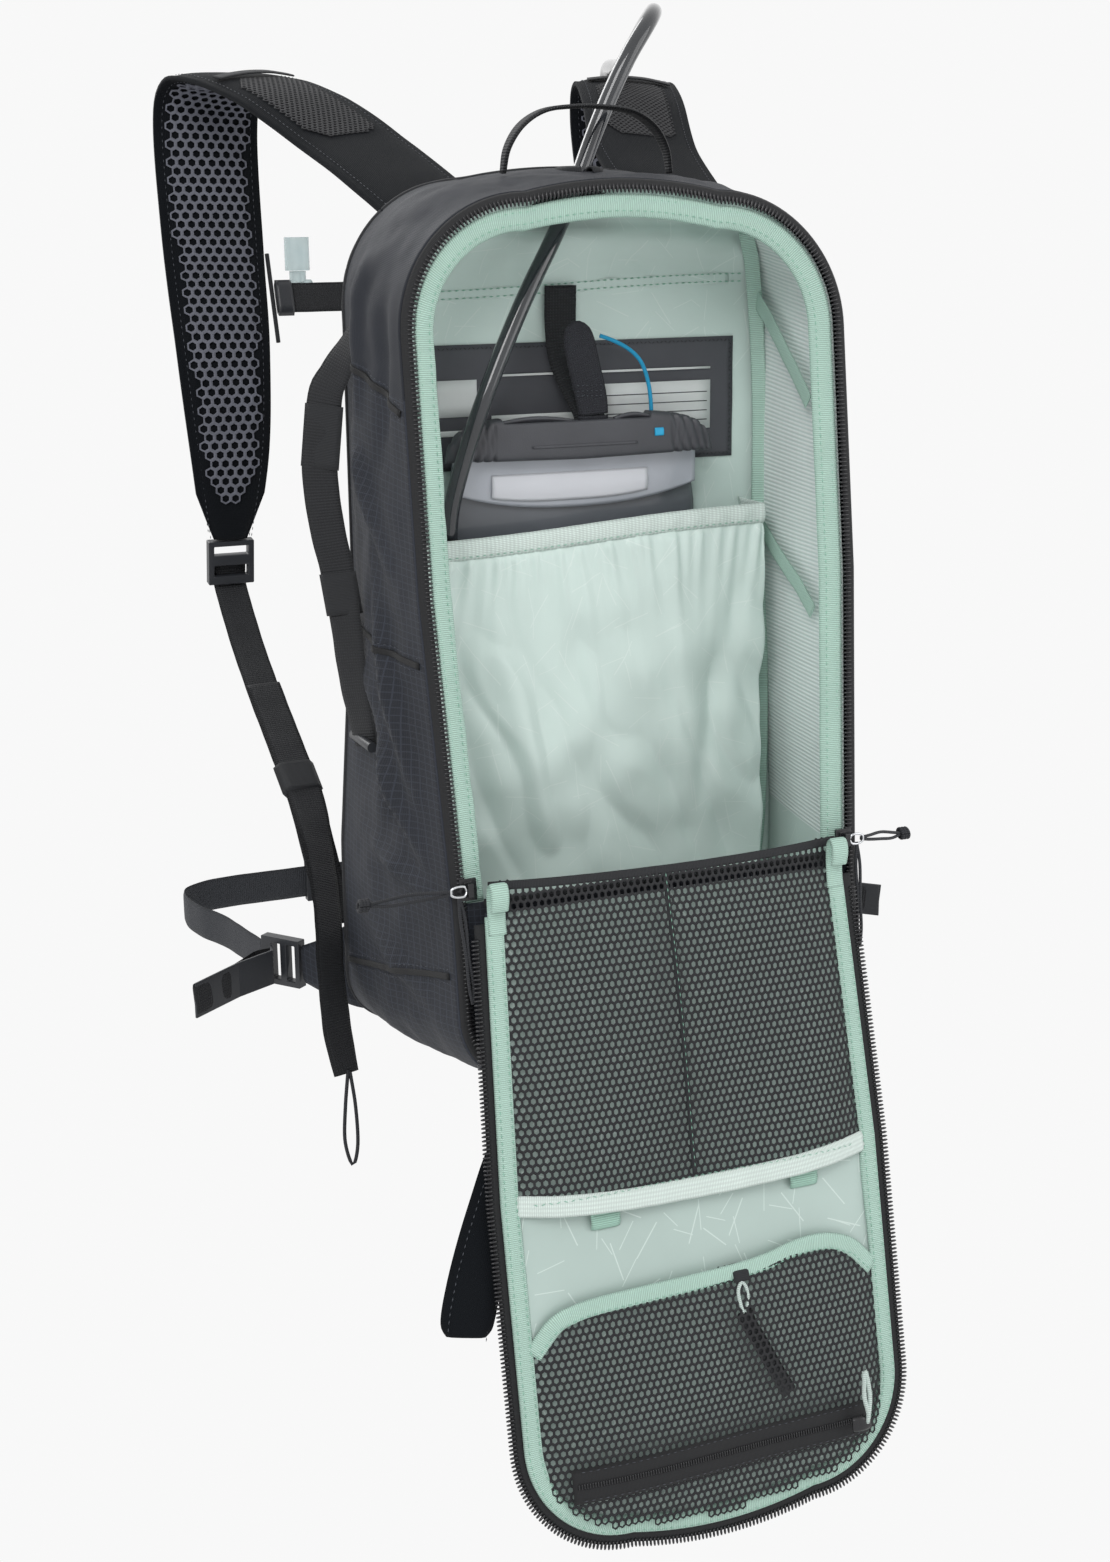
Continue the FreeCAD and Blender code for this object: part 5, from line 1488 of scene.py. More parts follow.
def curve_length(piece):
    """Length of a cord's smooth line."""
    depth = piece.data.bevel_depth
    piece.data.bevel_depth = 0.0
    bpy.context.view_layer.update()
    mesh = bpy.data.meshes.new_from_object(piece.evaluated_get(bpy.context.evaluated_depsgraph_get()))
    points = [v.co.copy() for v in mesh.vertices]
    bpy.data.meshes.remove(mesh)
    piece.data.bevel_depth = depth
    return sum((b - a).length for a, b in zip(points, points[1:]))


hose = cord_curve("hose_tube", HOSE_ROUTE, HOSE, hose_smoke)
hose_length = curve_length(hose)
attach(hose, "pack")
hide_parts("drink_hose")
tuple(row(HOSE_ROUTE[0]))
print("hose", round(hose_length, 3), "m")

lanyard = cord_curve("lanyard_cord", LANYARD_ROUTE, LANYARD, cord_blue)
lanyard_length = curve_length(lanyard)
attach(lanyard, "closure_bar")
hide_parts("lanyard")
tuple(row(LANYARD_ROUTE[0]))
print("lanyard", round(lanyard_length, 3), "m")

PORT = (2.0, 107.0)
PORT_TOP = 349.5
for number, (turn_from, turn_to) in enumerate(((-2.9, -0.25), (0.25, 2.9))):
    angles = np.linspace(turn_from, turn_to, 24)
    rows = []
    for angle in angles:
        centre = np.array((PORT[0] + math.sin(angle) * 0, PORT[1], PORT_TOP))
        out = np.array((math.sin(angle), -math.cos(angle), 0.0))
        rows.append([centre + out * r + np.array((0, 0, z)) for r, z in
                     ((6.2, -7.0), (6.0, -1.5), (7.0, 0.8), (9.5, 1.8), (12.0, 1.0), (13.0, -1.6))])
    lip = cloth("port_lip_%d" % number, np.array(rows), strap_tape, 1.0)
    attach(lip, "pack")
    if number == 0:
        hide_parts("hose_port")
inside_line = [(-20, 112, 329), (-10, 107, 334), (2, 104, 337), (14, 106, 336), (26, 111, 331)]
port_flap = strap("port_flap", inside_line, 14.0, 1.6, strap_tape, (0.0, 0.75, 0.6), step=2.0)
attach(port_flap, "pack")

# %% [markdown]
# ## Harness
# A shoulder strap is foam between a smooth outer cloth and a spacer mesh that lies on the body,
# with a flat tape bound round its edge. The centre line and widths are the model's own, so the
# padding stays where the frame says. A fat smooth section is swept along it, and hexagonal mesh
# is laid on the body side.

# %% Strap helpers
STRAP_THICK = 8.0
STRAP_LINE = [(-70, 127.2, 331), (-74, 150, 341), (-85, 206, 364), (-105, 265, 391), (-122, 315, 404),
              (-130, 343, 400), (-133, 352, 376), (-135, 338, 309), (-137, 318, 252), (-137, 314, 194),
              (-138, 320, 140)]
STRAP_WIDTHS = [58.0, 60.0, 62.0, 62.0, 62.0, 62.0, 62.0, 60.0, 56.0, 48.0, 34.0]
STRAP_STEP = 4.0
SECTION = 26


def strap_frame(flip):
    pts = np.column_stack([np.array(STRAP_LINE, dtype=float), STRAP_WIDTHS])
    packed = smooth_line(pts, STRAP_STEP)
    line = packed[:, :3] * (flip, 1, 1)
    tangent, side, normal = rails(line, (1.0, 0.0, 0.0))
    return line, side, normal, packed[:, 3]


def padded_profile(share):
    """Half thickness of the padding at a share of its half width: flat edge tape, full middle."""
    share = np.abs(share)
    foam = np.clip(1 - (share / 0.86) ** 3, 0, 1) ** 0.55
    return 1.3 + (STRAP_THICK / 2 - 1.3) * foam


def padded_strap(name, flip):
    line, side, normal, widths = strap_frame(flip)
    shares = np.concatenate([np.linspace(-1, 1, SECTION), np.linspace(1, -1, SECTION)])
    faces_out = np.concatenate([np.ones(SECTION), -np.ones(SECTION)])
    half = padded_profile(shares)
    end_shape = np.ones(len(line))
    tail = 8
    end_shape[-tail:] = np.sqrt(np.linspace(1.0, 0.35, tail))
    verts = []
    for k in range(len(shares)):
        move = side * (widths / 2 * shares[k] * end_shape)[:, None] + normal * (faces_out[k] * half[k])
        verts.append(line + move)
    grid = np.stack(verts, axis=1)
    grid += normal[:, None, :] * (0.5 * soft_noise(grid, 0.03, 81.0))[..., None]
    reach = run_length(line)
    uvs = np.array([((shares[k] + 1) / 2 * widths[i] * MM, reach[i]) for i in range(len(line))
                    for k in range(len(shares))])
    faces = [list(f) for f in grid_faces(len(line), len(shares), wrap=True)]
    count = len(shares)
    faces += [list(range(count))[::-1], [(len(line) - 1) * count + k for k in range(count)]]
    piece = new_piece(name, row(grid.reshape(-1, 3)), faces, uvs, strap_cloth)
    return piece


HEX_PITCH = 6.0
HEX_BAR = 1.9
MESH_MARGIN = 8.0


def strap_net(name, flip, outward, start, stop, pitch, bar, finish, margin, lift):
    """Netting on one face of the strap, between two distances along it."""
    line, side, normal, widths = strap_frame(flip)
    reach = run_length(line) / MM
    widest = max(widths)

    def place(u, v):
        spot = np.clip(v + start, 0, reach[-1])
        centre = np.stack([np.interp(spot, reach, line[:, k]) for k in range(3)], axis=-1)
        across = unit(np.stack([np.interp(spot, reach, side[:, k]) for k in range(3)], axis=-1))
        out = unit(np.stack([np.interp(spot, reach, normal[:, k]) for k in range(3)], axis=-1))
        width = np.interp(spot, reach, widths)
        x = u - widest / 2
        height = padded_profile(x / (width / 2)) + lift
        return centre + across * x[:, None] + out * (height * outward)[:, None]

    def inside(u, v):
        if not 0 <= v <= stop - start:
            return False
        width = np.interp(v + start, reach, widths)
        end = min(v, stop - start - v)
        margin_here = margin + max(0.0, 14.0 - end) ** 2 / 28.0
        return abs(u - widest / 2) < width / 2 - margin_here

    return net(name, place, inside, widest, stop - start, pitch, bar, 0.8, finish)


line, side, normal, widths = strap_frame(1.0)
STRAP_RUN = run_length(line)[-1] / MM
BODY_SIDE = 1.0 if normal[len(line) // 8][2] < 0 else -1.0
print("shoulder strap", round(STRAP_RUN), "mm, body side sign", BODY_SIDE)

# %% Shoulder straps
for word, flip in (("left", 1.0), ("right", -1.0)):
    body_sign = BODY_SIDE
    padded_piece = padded_strap("shoulder_pad_" + word, flip)
    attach(padded_piece, "pack")
    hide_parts("shoulder_strap_" + word)
    spacer = strap_net("shoulder_mesh_" + word, flip, body_sign, 30.0, STRAP_RUN - 26.0, HEX_PITCH, HEX_BAR,
                       hex_grey, MESH_MARGIN, 0.9)
    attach(spacer, "pack")
    if word == "left":
        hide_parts("strap_meshes")
    outer_net = strap_net("shoulder_outer_" + word, flip, -body_sign, 96.0, 186.0, 3.2, 1.3, net_black, 11.0,
                          0.4)
    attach(outer_net, "pack")
    line, side, normal, widths = strap_frame(flip)
    for number, edge in enumerate((-1, 1)):
        for face_number, face_sign in enumerate((-1, 1)):
            seam = line + side * (edge * (widths / 2 - 4.6))[:, None] + normal * (face_sign * 1.9)
            thread = stitches("strap_stitches_%s_%d%d" % (word, number, face_number), seam,
                              normal * face_sign,
                              thread_black, lift=0.25)
            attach(thread, "pack")
    reach = run_length(line) / MM
    spot = 196.0
    index = int(np.searchsorted(reach, spot))
    loop_line = [line[index - 1] + side[index] * s * widths[index] / 2 - normal[index] * body_sign * rise
                 + (line[index + 4] - line[index - 4]) * 0.02 * s
                 for s, rise in ((-0.8, 4.2), (-0.5, 5.6), (-0.1, 6.6), (0.3, 6.4), (0.6, 5.2), (0.82, 4.0))]
    tape_loop = strap("strap_tape_loop_" + word, loop_line, 9.0, 1.2, strap_tape,
                      line[index + 2] - line[index - 2], step=2.0)
    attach(tape_loop, "pack")

# %% [markdown]
# Below the padding a 20 mm webbing runs through a ladder lock and down to the hip. Its free end
# doubles back, passes an elastic keeper, twists edge-on and ends in a thin cord loop.

# %% Shoulder webbing
WEB = 20.0
WEB_THICK = 1.6
WEBBING_LINE = [(-138, 325.5, 110.5), (-137, 300, 84), (-136, 266, 58), (-134.5, 228, 32), (-133, 190, 6),
                (-131, 165, -28),
                (-129.5, 141, -51)]
TAIL_GAP = 3.6


def lifted(points, distance):
    """The same line moved to its outer side."""
    pts = np.asarray(points, dtype=float)
    tangent, side, normal = rails(pts, (1.0, 0.0, 0.0))
    return pts + normal * distance


probe = lifted(WEBBING_LINE, 1.0) - np.array(WEBBING_LINE)
OUTER = 1.0 if probe[2][2] > 0 else -1.0
for word, flip in (("left", 1.0), ("right", -1.0)):
    top_line = [(-138, 324.5, 128), (-138, 326.5, 120)] + WEBBING_LINE
    main = strap("webbing_main_" + word, top_line, WEB, WEB_THICK, webbing, flip=flip, waves=0.3)
    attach(main, "pack")
    if word == "left":
        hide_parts("strap_webbings")
    tail_points = [tuple(p) for p in lifted(WEBBING_LINE[2:5], TAIL_GAP * OUTER)]
    tail_points += [(-135, 162, -12), (-138.5, 136, -38), (-144, 114, -66), (-144.5, 105, -96),
                    (-142, 98, -122)]
    turn = [(1, 0, 0), (1, 0, 0), (1, 0, 0), (0.9, 0.35, -0.2), (0.75, 0.6, 0.1), (0.8, 0.5, 0.0),
            (0.9, 0.35, 0), (1, 0.2, 0)]
    tail = strap("webbing_tail_" + word, tail_points, [20, 20, 20, 20, 20, 20, 19, 15], WEB_THICK, webbing,
                 turn, flip=flip,
                 waves=0.3)
    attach(tail, "pack")
    loop = [(-141, 98, -120), (-144.5, 94, -140), (-146.5, 90, -158), (-143.5, 87, -171), (-140.0, 88, -160),
            (-139.0, 93, -140), (-140, 98, -121)]
    cord = cord_mesh("webbing_loop_" + word, np.array(loop) * (flip, 1, 1), 2.0, cord_black)
    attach(cord, "pack")
    start, end = np.array(WEBBING_LINE[2]), np.array(WEBBING_LINE[4])
    run = end - start
    out = unit(np.cross(run, (1.0, 0.0, 0.0))) * OUTER
    keeper_line = np.array([start + run * share for share in np.linspace(0.70, 0.92, 6)]) + out * TAIL_GAP / 2
    keeper = strap("webbing_keeper_" + word, keeper_line, WEB + 4, WEB_THICK + TAIL_GAP + 3.4, strap_tape,
                   flip=flip, step=2.0)
    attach(keeper, "pack")
    if word == "left":
        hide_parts("strap_keepers")

# %% [markdown]
# The chest strap is fine ribbed webbing with a side-release buckle. The waist belt is a loop of
# the same webbing behind the bag, with a keeper, a buckle and a ladder lock at each hip.

# %% Chest strap, waist belt and side straps
STERNUM_Y, STERNUM_Z = 328.2, 281.0
STERNUM_LEAN = math.radians(19.3)
STERNUM_UP = (0.0, math.sin(STERNUM_LEAN), math.cos(STERNUM_LEAN))


def strap_hugging(x0, x1, bow):
    spots = np.linspace(x0, x1, 6)
    share = (spots - x0) / (x1 - x0)
    return [(x, STERNUM_Y + bow * math.sin(math.pi * s), STERNUM_Z) for x, s in zip(spots, share)]


for word, body, x0, x1 in (("left", "sternum_left", -101.0, -28.0), ("right", "sternum_right", 27.6, 101.0)):
    chest = strap("chest_strap_" + word, strap_hugging(x0, x1, 0.0), 18.0, WEB_THICK, webbing, STERNUM_UP,
                  step=2.0, waves=0.2)
    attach(chest, body)
    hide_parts("sternum_strap_" + word)
    sleeve_x = (-100.5, -91.0) if word == "left" else (91.0, 100.5)
    cover = strap("chest_clip_" + word, strap_hugging(*sleeve_x, 0.0), 22.0, 6.6, buckle_black, STERNUM_UP,
                  step=1.5)
    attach(cover, body)
    rail_x = -103.0 if word == "left" else 103.0
    rail = cord_mesh("chest_rail_" + word,
                     [(rail_x, STERNUM_Y + STERNUM_UP[1] * s, STERNUM_Z + STERNUM_UP[2] * s)
                                            for s in np.linspace(-27, 27, 6)], 2.6, strap_tape, turns=12)
    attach(rail, "pack")

WAIST_Z = -78.0
WAIST_Y = 305.0
FIN_END = np.array((-148.0, 158.0))
BELT_DIR = np.array((-0.62, 0.785))
WAIST_POINTS = [(-174, 230), (-182, 252), (-186, 272), (-184, 290), (-170, 301), (-150, 304.5), (-120, 305)]


def on_belt(distance, offset=0.0, z=WAIST_Z):
    side_way = np.array((-BELT_DIR[1], BELT_DIR[0]))
    x, y = FIN_END + BELT_DIR * distance + side_way * offset
    return (x, y, z)


for word, flip in (("left", 1.0), ("right", -1.0)):
    end_x = -34.0 if word == "left" else -33.6
    belt_line = [on_belt(27.0)] + [(x, y, WAIST_Z) for x, y in WAIST_POINTS] + [(-70, WAIST_Y, WAIST_Z),
                                                                                (end_x, WAIST_Y, WAIST_Z)]
    belt = strap("waist_belt_" + word, belt_line, WEB, WEB_THICK, fine_webbing, (0.0, 0.0, 1.0), flip=flip,
                 waves=0.2)
    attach(belt, "pack")
    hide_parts("waist_strap_" + word)
    tail_line = [on_belt(18, 4.1), on_belt(15, 9.0), (-174, 164, WAIST_Z - 1), (-190, 151, WAIST_Z - 2.4),
                 (-214, 138, WAIST_Z - 5)]
    belt_tail = strap("waist_tail_" + word, tail_line, WEB, WEB_THICK, webbing, (0.0, 0.0, 1.0), flip=flip,
                      waves=0.3)
    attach(belt_tail, "waist_lock_" + word)
    fin_y = BACK_Y + 2.3
    fin_line = [(-96, fin_y, WAIST_Z + 8), (-110, fin_y + 0.5, WAIST_Z + 7), (-124, fin_y + 3.5, WAIST_Z + 4),
                (-136, fin_y + 15, WAIST_Z + 1.5), on_belt(-1.2)]
    fin = strap("hip_fin_" + word, fin_line, [58, 56, 50, 36, 22], 4.0, ripstop_shell, (0.0, 0.0, 1.0),
                flip=flip, crown=1.0)
    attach(fin, "pack")
    if word == "left":
        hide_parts("hip_fins")

SIDE_ROUTE = [(-120.4, 100, 278), (-125, 102, 266), (-132, 104, 253), (-138, 105, 240), (-142, 105, 205),
              (-140, 104, 178),
              (-136, 102, 154), (-133, 100, 130), (-131.5, 95, 98), (-127.5, 89, 62)]
SIDE_TURN = [(0, 1, 0), (-0.3, 0.95, 0), (-0.6, 0.8, 0), (-0.7, 0.7, 0), (-0.75, 0.66, 0), (-0.75, 0.66, 0),
             (-0.7, 0.7, 0),
             (-0.6, 0.8, 0), (-0.5, 0.86, 0), (-0.3, 0.95, 0)]
for word, flip in (("left", 1.0), ("right", -1.0)):
    side_strap = strap("side_strap_" + word, SIDE_ROUTE, WEB, WEB_THICK, webbing, SIDE_TURN, flip=flip,
                       waves=0.3)
    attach(side_strap, "pack")
    if word == "left":
        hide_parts("side_straps")
    for number, (first_point, last_point, wide, thick) in enumerate(((3, 4, 22.0, 2.4), (6, 7, 21.5, 2.8))):
        a, b = np.array(SIDE_ROUTE[first_point], dtype=float), np.array(SIDE_ROUTE[last_point], dtype=float)
        patch_line = [a + (b - a) * s for s in (0.1, 0.4, 0.7, 1.0)]
        segment = strap("side_strap_patch_%s_%d" % (word, number), patch_line, wide, thick, strap_tape,
                        SIDE_TURN[first_point], flip=flip)
        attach(segment, "pack")

HAUL_LINE = [(-46, 90, 348), (-43.5, 90, 360), (-36, 90, 371), (-24, 90, 378), (-8, 90, 380.2),
             (8, 90, 380.2), (24, 90, 378),
             (36, 90, 371), (43.5, 90, 360), (46, 90, 348)]
haul = strap("haul_tape", HAUL_LINE, [6, 9, 12, 12, 12, 12, 12, 12, 9, 6], 2.2, webbing, (0.0, 1.0, 0.0),
             step=2.0)
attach(haul, "haul_loop")
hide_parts("haul_loop")
for word, x in (("left", -46.0), ("right", 46.0)):
    anchor_line = [(x - 7, 90, 343.6), (x, 90, 345.0), (x + 7, 90, 343.8)]
    anchor = strap("haul_anchor_" + word, anchor_line, 15.0, 1.6, strap_tape, (0.0, 1.0, 0.0), step=1.5)
    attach(anchor, "pack")

# %% [markdown]
# Buckles and locks keep the model's own solids. They only get rounded edges from a modifier and
# a moulded finish.

# %% Moulded fittings
EDGE_ROUND = 0.7


def refinish(node_name, finish, rounding=EDGE_ROUND):
    node = frame["nodes"][node_name]
    node.data.materials.clear()
    node.data.materials.append(finish)
    if rounding:
        weld = node.modifiers.new("weld", "WELD")
        weld.merge_threshold = 0.00002
        bevel = node.modifiers.new("round", "BEVEL")
        bevel.width = rounding * MM
        bevel.segments = 3
        bevel.limit_method = "ANGLE"
        bevel.angle_limit = math.radians(40)
    return node


for node_name in ("strap_lock_left", "strap_lock_right", "sternum_buckle_female", "sternum_buckle_male",
                  "waist_buckle_female", "waist_buckle_male", "waist_keeper", "toggle_bar_left",
                  "toggle_bar_right",
                  "waist_lock_left", "waist_lock_right"):
    refinish(node_name, buckle_black, 0.5)
refinish("bite_valve_body", silicone, 2.0)
refinish("bite_valve_mouthpiece", silicone, 2.0)
refinish("zip_slider_left", coil_black, 0.4)
refinish("zip_slider_right", coil_black, 0.4)

# %% [markdown]
# ## Front panel, hanging open
# The panel is the front of the bag, laid down and out. Its face towards the viewer is its inside:
# pale lining, the other half of the zip round the edge, a mint binding, an upper net pocket with
# an elastic top, and a lower net pocket with its own small zip. Everything is placed as on the
# closed panel, so that the sizes read straight off it, and then hung open.

# %% Panel, lining and zip tape
FLAP_LOW = 5.0
FLAP_IN = unit(hanging((0.0, -1.0, 0.0)) - hanging((0.0, 0.0, 0.0)))
FLAP_UP = unit(hanging((0.0, 0.0, 1.0)) - hanging((0.0, 0.0, 0.0)))
FLAP_FACE = 3.3
POCKET_EDGE = 15.0
UPPER_END = 150.0
LOWER_START = 200.0
POCKET_FULL = 8.5


def half_width(up, grow):
    """Half width of the panel at a height above the fold."""
    flat = zip_line(grow)
    right = flat[flat[:, 0] >= -1e-6]
    right = right[np.argsort(right[:, 1], kind="stable")]
    return np.interp(up, right[:, 1], right[:, 0], right=0.0)


def crest_height(grow):
    return zip_line(grow)[:, 1].max()


def panel_grid(grow, low, high, rows, cols, out):
    """A sheet over the panel between two heights. out(x, up) gives its distance from the zip."""
    high = min(high, crest_height(grow) - 0.3)
    turn = np.linspace(0, 1, rows)
    ups = low + (high - low) * np.sin(turn * math.pi / 2) if high > OPEN_HEIGHT - 40 else low + (high
                                                                                                 - low) * turn
    grid = np.zeros((rows, cols, 3))
    for i, up in enumerate(ups):
        wide = max(half_width(up, grow), 6.0)
        grid[i, :, 0] = np.linspace(-wide, wide, cols)
        grid[i, :, 2] = up
    grid[..., 1] = out(grid[..., 0], grid[..., 2])
    return grid


def pulled_cloth(x, up, depth, seed):
    """Low soft waves of a panel that hangs by its top edge."""
    waves = np.vectorize(lambda a, b: noise.noise(Vector((a * 0.02, b * 0.011, seed))))(x, up)
    fine = np.vectorize(lambda a, b: noise.noise(Vector((a * 0.05, b * 0.03, seed + 9.0))))(x, up)
    return depth * (waves + 0.35 * fine)


outer = cloth("panel_cloth", hanging(panel_grid(-7.5, FLAP_LOW, 999, 70, 50,
              lambda x, up: FLAP_FACE - 0.9 + pulled_cloth(x, up, 0.8, 1.0))), ripstop_shell, 1.2)
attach(outer, "flap")
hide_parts("flap_panel")
lining_sheet = cloth("panel_lining", hanging(panel_grid(-8.5, FLAP_LOW, 999, 90, 60,
                     lambda x, up: 0.1 + pulled_cloth(x, up, 0.7, 5.0))), panel_lining_cloth, 0.5)
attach(lining_sheet, "flap")
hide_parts("flap_lining")

FLAP_TAPE_PROFILE = [(-9.0, 0.9), (-6.5, 0.6), (-4.0, 0.4), (-2.2, 0.5), (-0.6, 0.8)]
flap_tape = outline_band("flap_zip_tape", FLAP_TAPE_PROFILE, zip_tape, 9.0, place=hanging, thick=0.9)
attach(flap_tape, "flap")
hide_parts("zip_tape_flap")
outer_flat, inner_flat = zip_line(-0.4), zip_line(-4.0)
flap_coil_line = part_of(hanging(np.column_stack([outer_flat[:, 0], np.full(len(outer_flat), -0.2),
                                                  outer_flat[:, 1]])), 15.0)
flap_coil_in = part_of(hanging(np.column_stack([inner_flat[:, 0], np.full(len(inner_flat), -0.2),
                                                inner_flat[:, 1]])), 15.0)
flap_coil = teeth("flap_zip_coil", flap_coil_line, FLAP_IN, flap_coil_in - flap_coil_line, coil_black,
                  pitch=2.1,
                  reach_in=4.4, high=1.9, wide=1.35)
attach(flap_coil, "flap")

FLAP_RIM = [(-6.0, -0.4), (-6.6, -1.4), (-8.0, -1.9), (-10.2, -2.2), (-12.4, -2.2), (-14.6, -1.8),
            (-15.4, -0.6)]
flap_rim = outline_band("flap_rim_tape", FLAP_RIM, mint_tape, 4.5, wobble=0.7, place=hanging, thick=0.7,
                        seed=7.0)
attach(flap_rim, "flap")
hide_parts("flap_binding")
for number, side in enumerate((-1, 1)):
    end_x = side * (HALF_FOLD - 11.0)
    end_line = [hanging((end_x, out, up)) for out,
                up in ((-2.2, 16.0), (-2.8, 6.0), (-3.8, -2.0), (-6.0, -8.0),
                                                          (-9.0, -9.5), (-11.0, -6.5), (-10.6, -1.5),
                                                          (-8.0, 4.0))]
    rim_end = strap("flap_rim_end_%d" % number, end_line, 9.5, 1.5, mint_tape, step=1.0)
    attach(rim_end, "flap")
for number, grow in enumerate((-7.6, -13.6)):
    flat = zip_line(grow)
    seam_line = part_of(hanging(np.column_stack([flat[:, 0], np.full(len(flat), -2.4), flat[:, 1]])), 18.0)
    thread = stitches("flap_rim_stitches_%d" % number, seam_line, FLAP_IN, thread_mint, lift=0.35)
    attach(thread, "flap")

# %% [markdown]
# Both pockets are open net with six-sided holes a little taller than wide. The net stands away
# from the lining at its middle and is sewn down at its edges.

# %% Net pockets
NET_PITCH = 3.6
NET_BAR = 1.25
NET_STRETCH = 1.2


def pocket_out(x, up, low, high, open_end):
    """How far the net stands in from the lining."""
    wide = np.maximum(np.interp(up, (0, MID_HEIGHT), (HALF_FOLD, HALF_MID)) - POCKET_EDGE, 1.0)
    across = np.clip(1 - np.abs(x / wide) ** 6, 0, 1)
    share = np.clip((up - low) / (high - low), 0, 1)
    along = np.sin(math.pi * share * (0.5 if open_end else 1.0)) ** 0.6
    return -1.2 - POCKET_FULL * across * (0.35 + 0.65 * along) * (0.85 + 0.15 * np.sin(x / 23.0 + up / 31.0))


LOWER_EDGE = smooth_line([(-98, 226, 0), (-92, 217, 0), (-82, 209.5, 0), (-66, 206, 0), (-40, 205, 0),
                          (0, 204, 0), (30, 202, 0),
                          (52, 198, 0), (68, 197.5, 0), (82, 202, 0), (92, 210, 0), (98, 218, 0)], 2.0)
LOWER_EDGE_X, LOWER_EDGE_UP = LOWER_EDGE[:, 0], LOWER_EDGE[:, 1]


def lower_edge(x):
    """Height of the lower pocket's edge, which turns down at both ends as a stretched edge does."""
    return np.interp(x, LOWER_EDGE_X, LOWER_EDGE_UP)


def net_pocket(name, low_at, high_at, low, high, open_end, node, finish):
    wide = HALF_MID + 2.5 - POCKET_EDGE

    def place(u, v):
        x, up = u - wide, v + low
        return hanging(np.stack([x, pocket_out(x, up, low, high, open_end), up], axis=-1))

    def inside(u, v):
        x, up = u - wide, v + low
        return (low_at(x) < up < min(high_at(x), crest_height(2.5 - POCKET_EDGE))
                and abs(x) < half_width(up, 2.5 - POCKET_EDGE))

    piece = net(name, place, inside, 2 * wide, high - low, NET_PITCH, NET_BAR, 0.5, finish, NET_STRETCH)
    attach(piece, "flap")
    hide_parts(node)
    return piece



elastic_half = HALF_MID - POCKET_EDGE + 1.0


def elastic_up(x):
    """Middle of the elastic: it sags a little between its sewn ends."""
    return 151.5 + 6.0 * (1 - (x / elastic_half) ** 2)


def fold_edge(x):
    """The net's edge at the fold stands up past it and sags a little between the two corners."""
    return -9.0 + 3.0 * (1 - (np.abs(x) / elastic_half) ** 2)


NET_LOW = -12.0
net_pocket("upper_net", fold_edge, lambda x: elastic_up(x) - 2.6, NET_LOW, UPPER_END + 8.0, True,
           "upper_mesh_pocket", net_black)
hem_points = [hanging((x, float(pocket_out(x, fold_edge(x), NET_LOW, UPPER_END + 8.0, True)),
                       fold_edge(x) + 0.5))
              for x in np.linspace(-elastic_half + 1, elastic_half - 1, 17)]
hem = strap("upper_net_hem", hem_points, 4.5, 1.2, strap_tape, FLAP_UP, step=2.0, waves=0.3)
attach(hem, "flap")
net_pocket("lower_net", lower_edge, lambda x: 999.0, LOWER_START, OPEN_HEIGHT - 8.0, False,
           "lower_mesh_pocket", net_black)

elastic_line = [hanging((x, float(pocket_out(x, UPPER_END, 4.0, UPPER_END + 4.0, True)) - 0.4, elastic_up(x)))
                for x in np.linspace(-elastic_half, elastic_half, 15)]
elastic = strap("upper_elastic", elastic_line, 11.0, 1.8, mint_elastic, FLAP_UP, step=2.0, waves=0.35)
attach(elastic, "flap")
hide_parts("pocket_bindings")
edge_points = [(x, float(pocket_out(x, lower_edge(x), LOWER_START, OPEN_HEIGHT, False)) - 0.5,
                lower_edge(x) + 2.5)
               for x in np.linspace(-elastic_half + 1, elastic_half - 1, 17)]
edge = strap("lower_edge_tape", [hanging(p) for p in edge_points], 9.5, 1.6, mint_tape, FLAP_UP, step=2.0)
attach(edge, "flap")
for word, points, spread in (("elastic",
                              [(x, float(pocket_out(x, UPPER_END, 4.0, UPPER_END + 4.0, True)) - 1.4,
                                UPPER_END + 1.4)
                                          for x in np.linspace(-92, 92, 40)], 0.5),
                             ("edge", [(p[0], p[1] - 0.9, p[2] + 3.0) for p in edge_points], 0.0)):
    thread = stitches("pocket_stitches_" + word, [hanging(p) for p in points], FLAP_IN, thread_mint, lift=0.3,
                      zigzag=spread)
    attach(thread, "flap")

SEAM_X = -3.0
seam_points = [hanging((SEAM_X, float(pocket_out(SEAM_X, up, 4.0, UPPER_END + 4.0, True)) - 0.7, up))
               for up in np.linspace(-5, 150, 13)]
seam_tape = strap("centre_seam", seam_points, 2.8, 1.0, strap_tape, step=2.5)
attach(seam_tape, "flap")
for number, side_step in enumerate((0.0,)):
    line = np.array(seam_points) + (side_step, 0, 0) + FLAP_IN * 0.7
    thread = stitches("seam_stitches_%d" % number, line, FLAP_IN, thread_mint, lift=0.15)
    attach(thread, "flap")

for number, (x, up) in enumerate(((-52.0, 160.0), (61.0, 159.0))):
    tab_points = [hanging((x, n, up + s)) for n,
                  s in ((-1.2, 0.5), (-2.6, 2.0), (-3.0, 5.0), (-2.8, 8.0), (-1.2, 10.5))]
    small_tab = strap("mint_tab_%d" % number, tab_points, 16.0, 1.2, mint_tab, (1.0, 0.0, 0.0), step=1.0)
    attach(small_tab, "flap")
    if number == 0:
        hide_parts("webbing_tabs")

# %% [markdown]
# The small zip is a black band across the lower pocket with its own coil. Its slider runs on the
# band and carries a short mint cord. The key clip is a cord loop on a sewn tape.

# %% Pocket zip, key clip and gear tab
ZIP_UP = 296.0
ZIP_REACH = 84.0


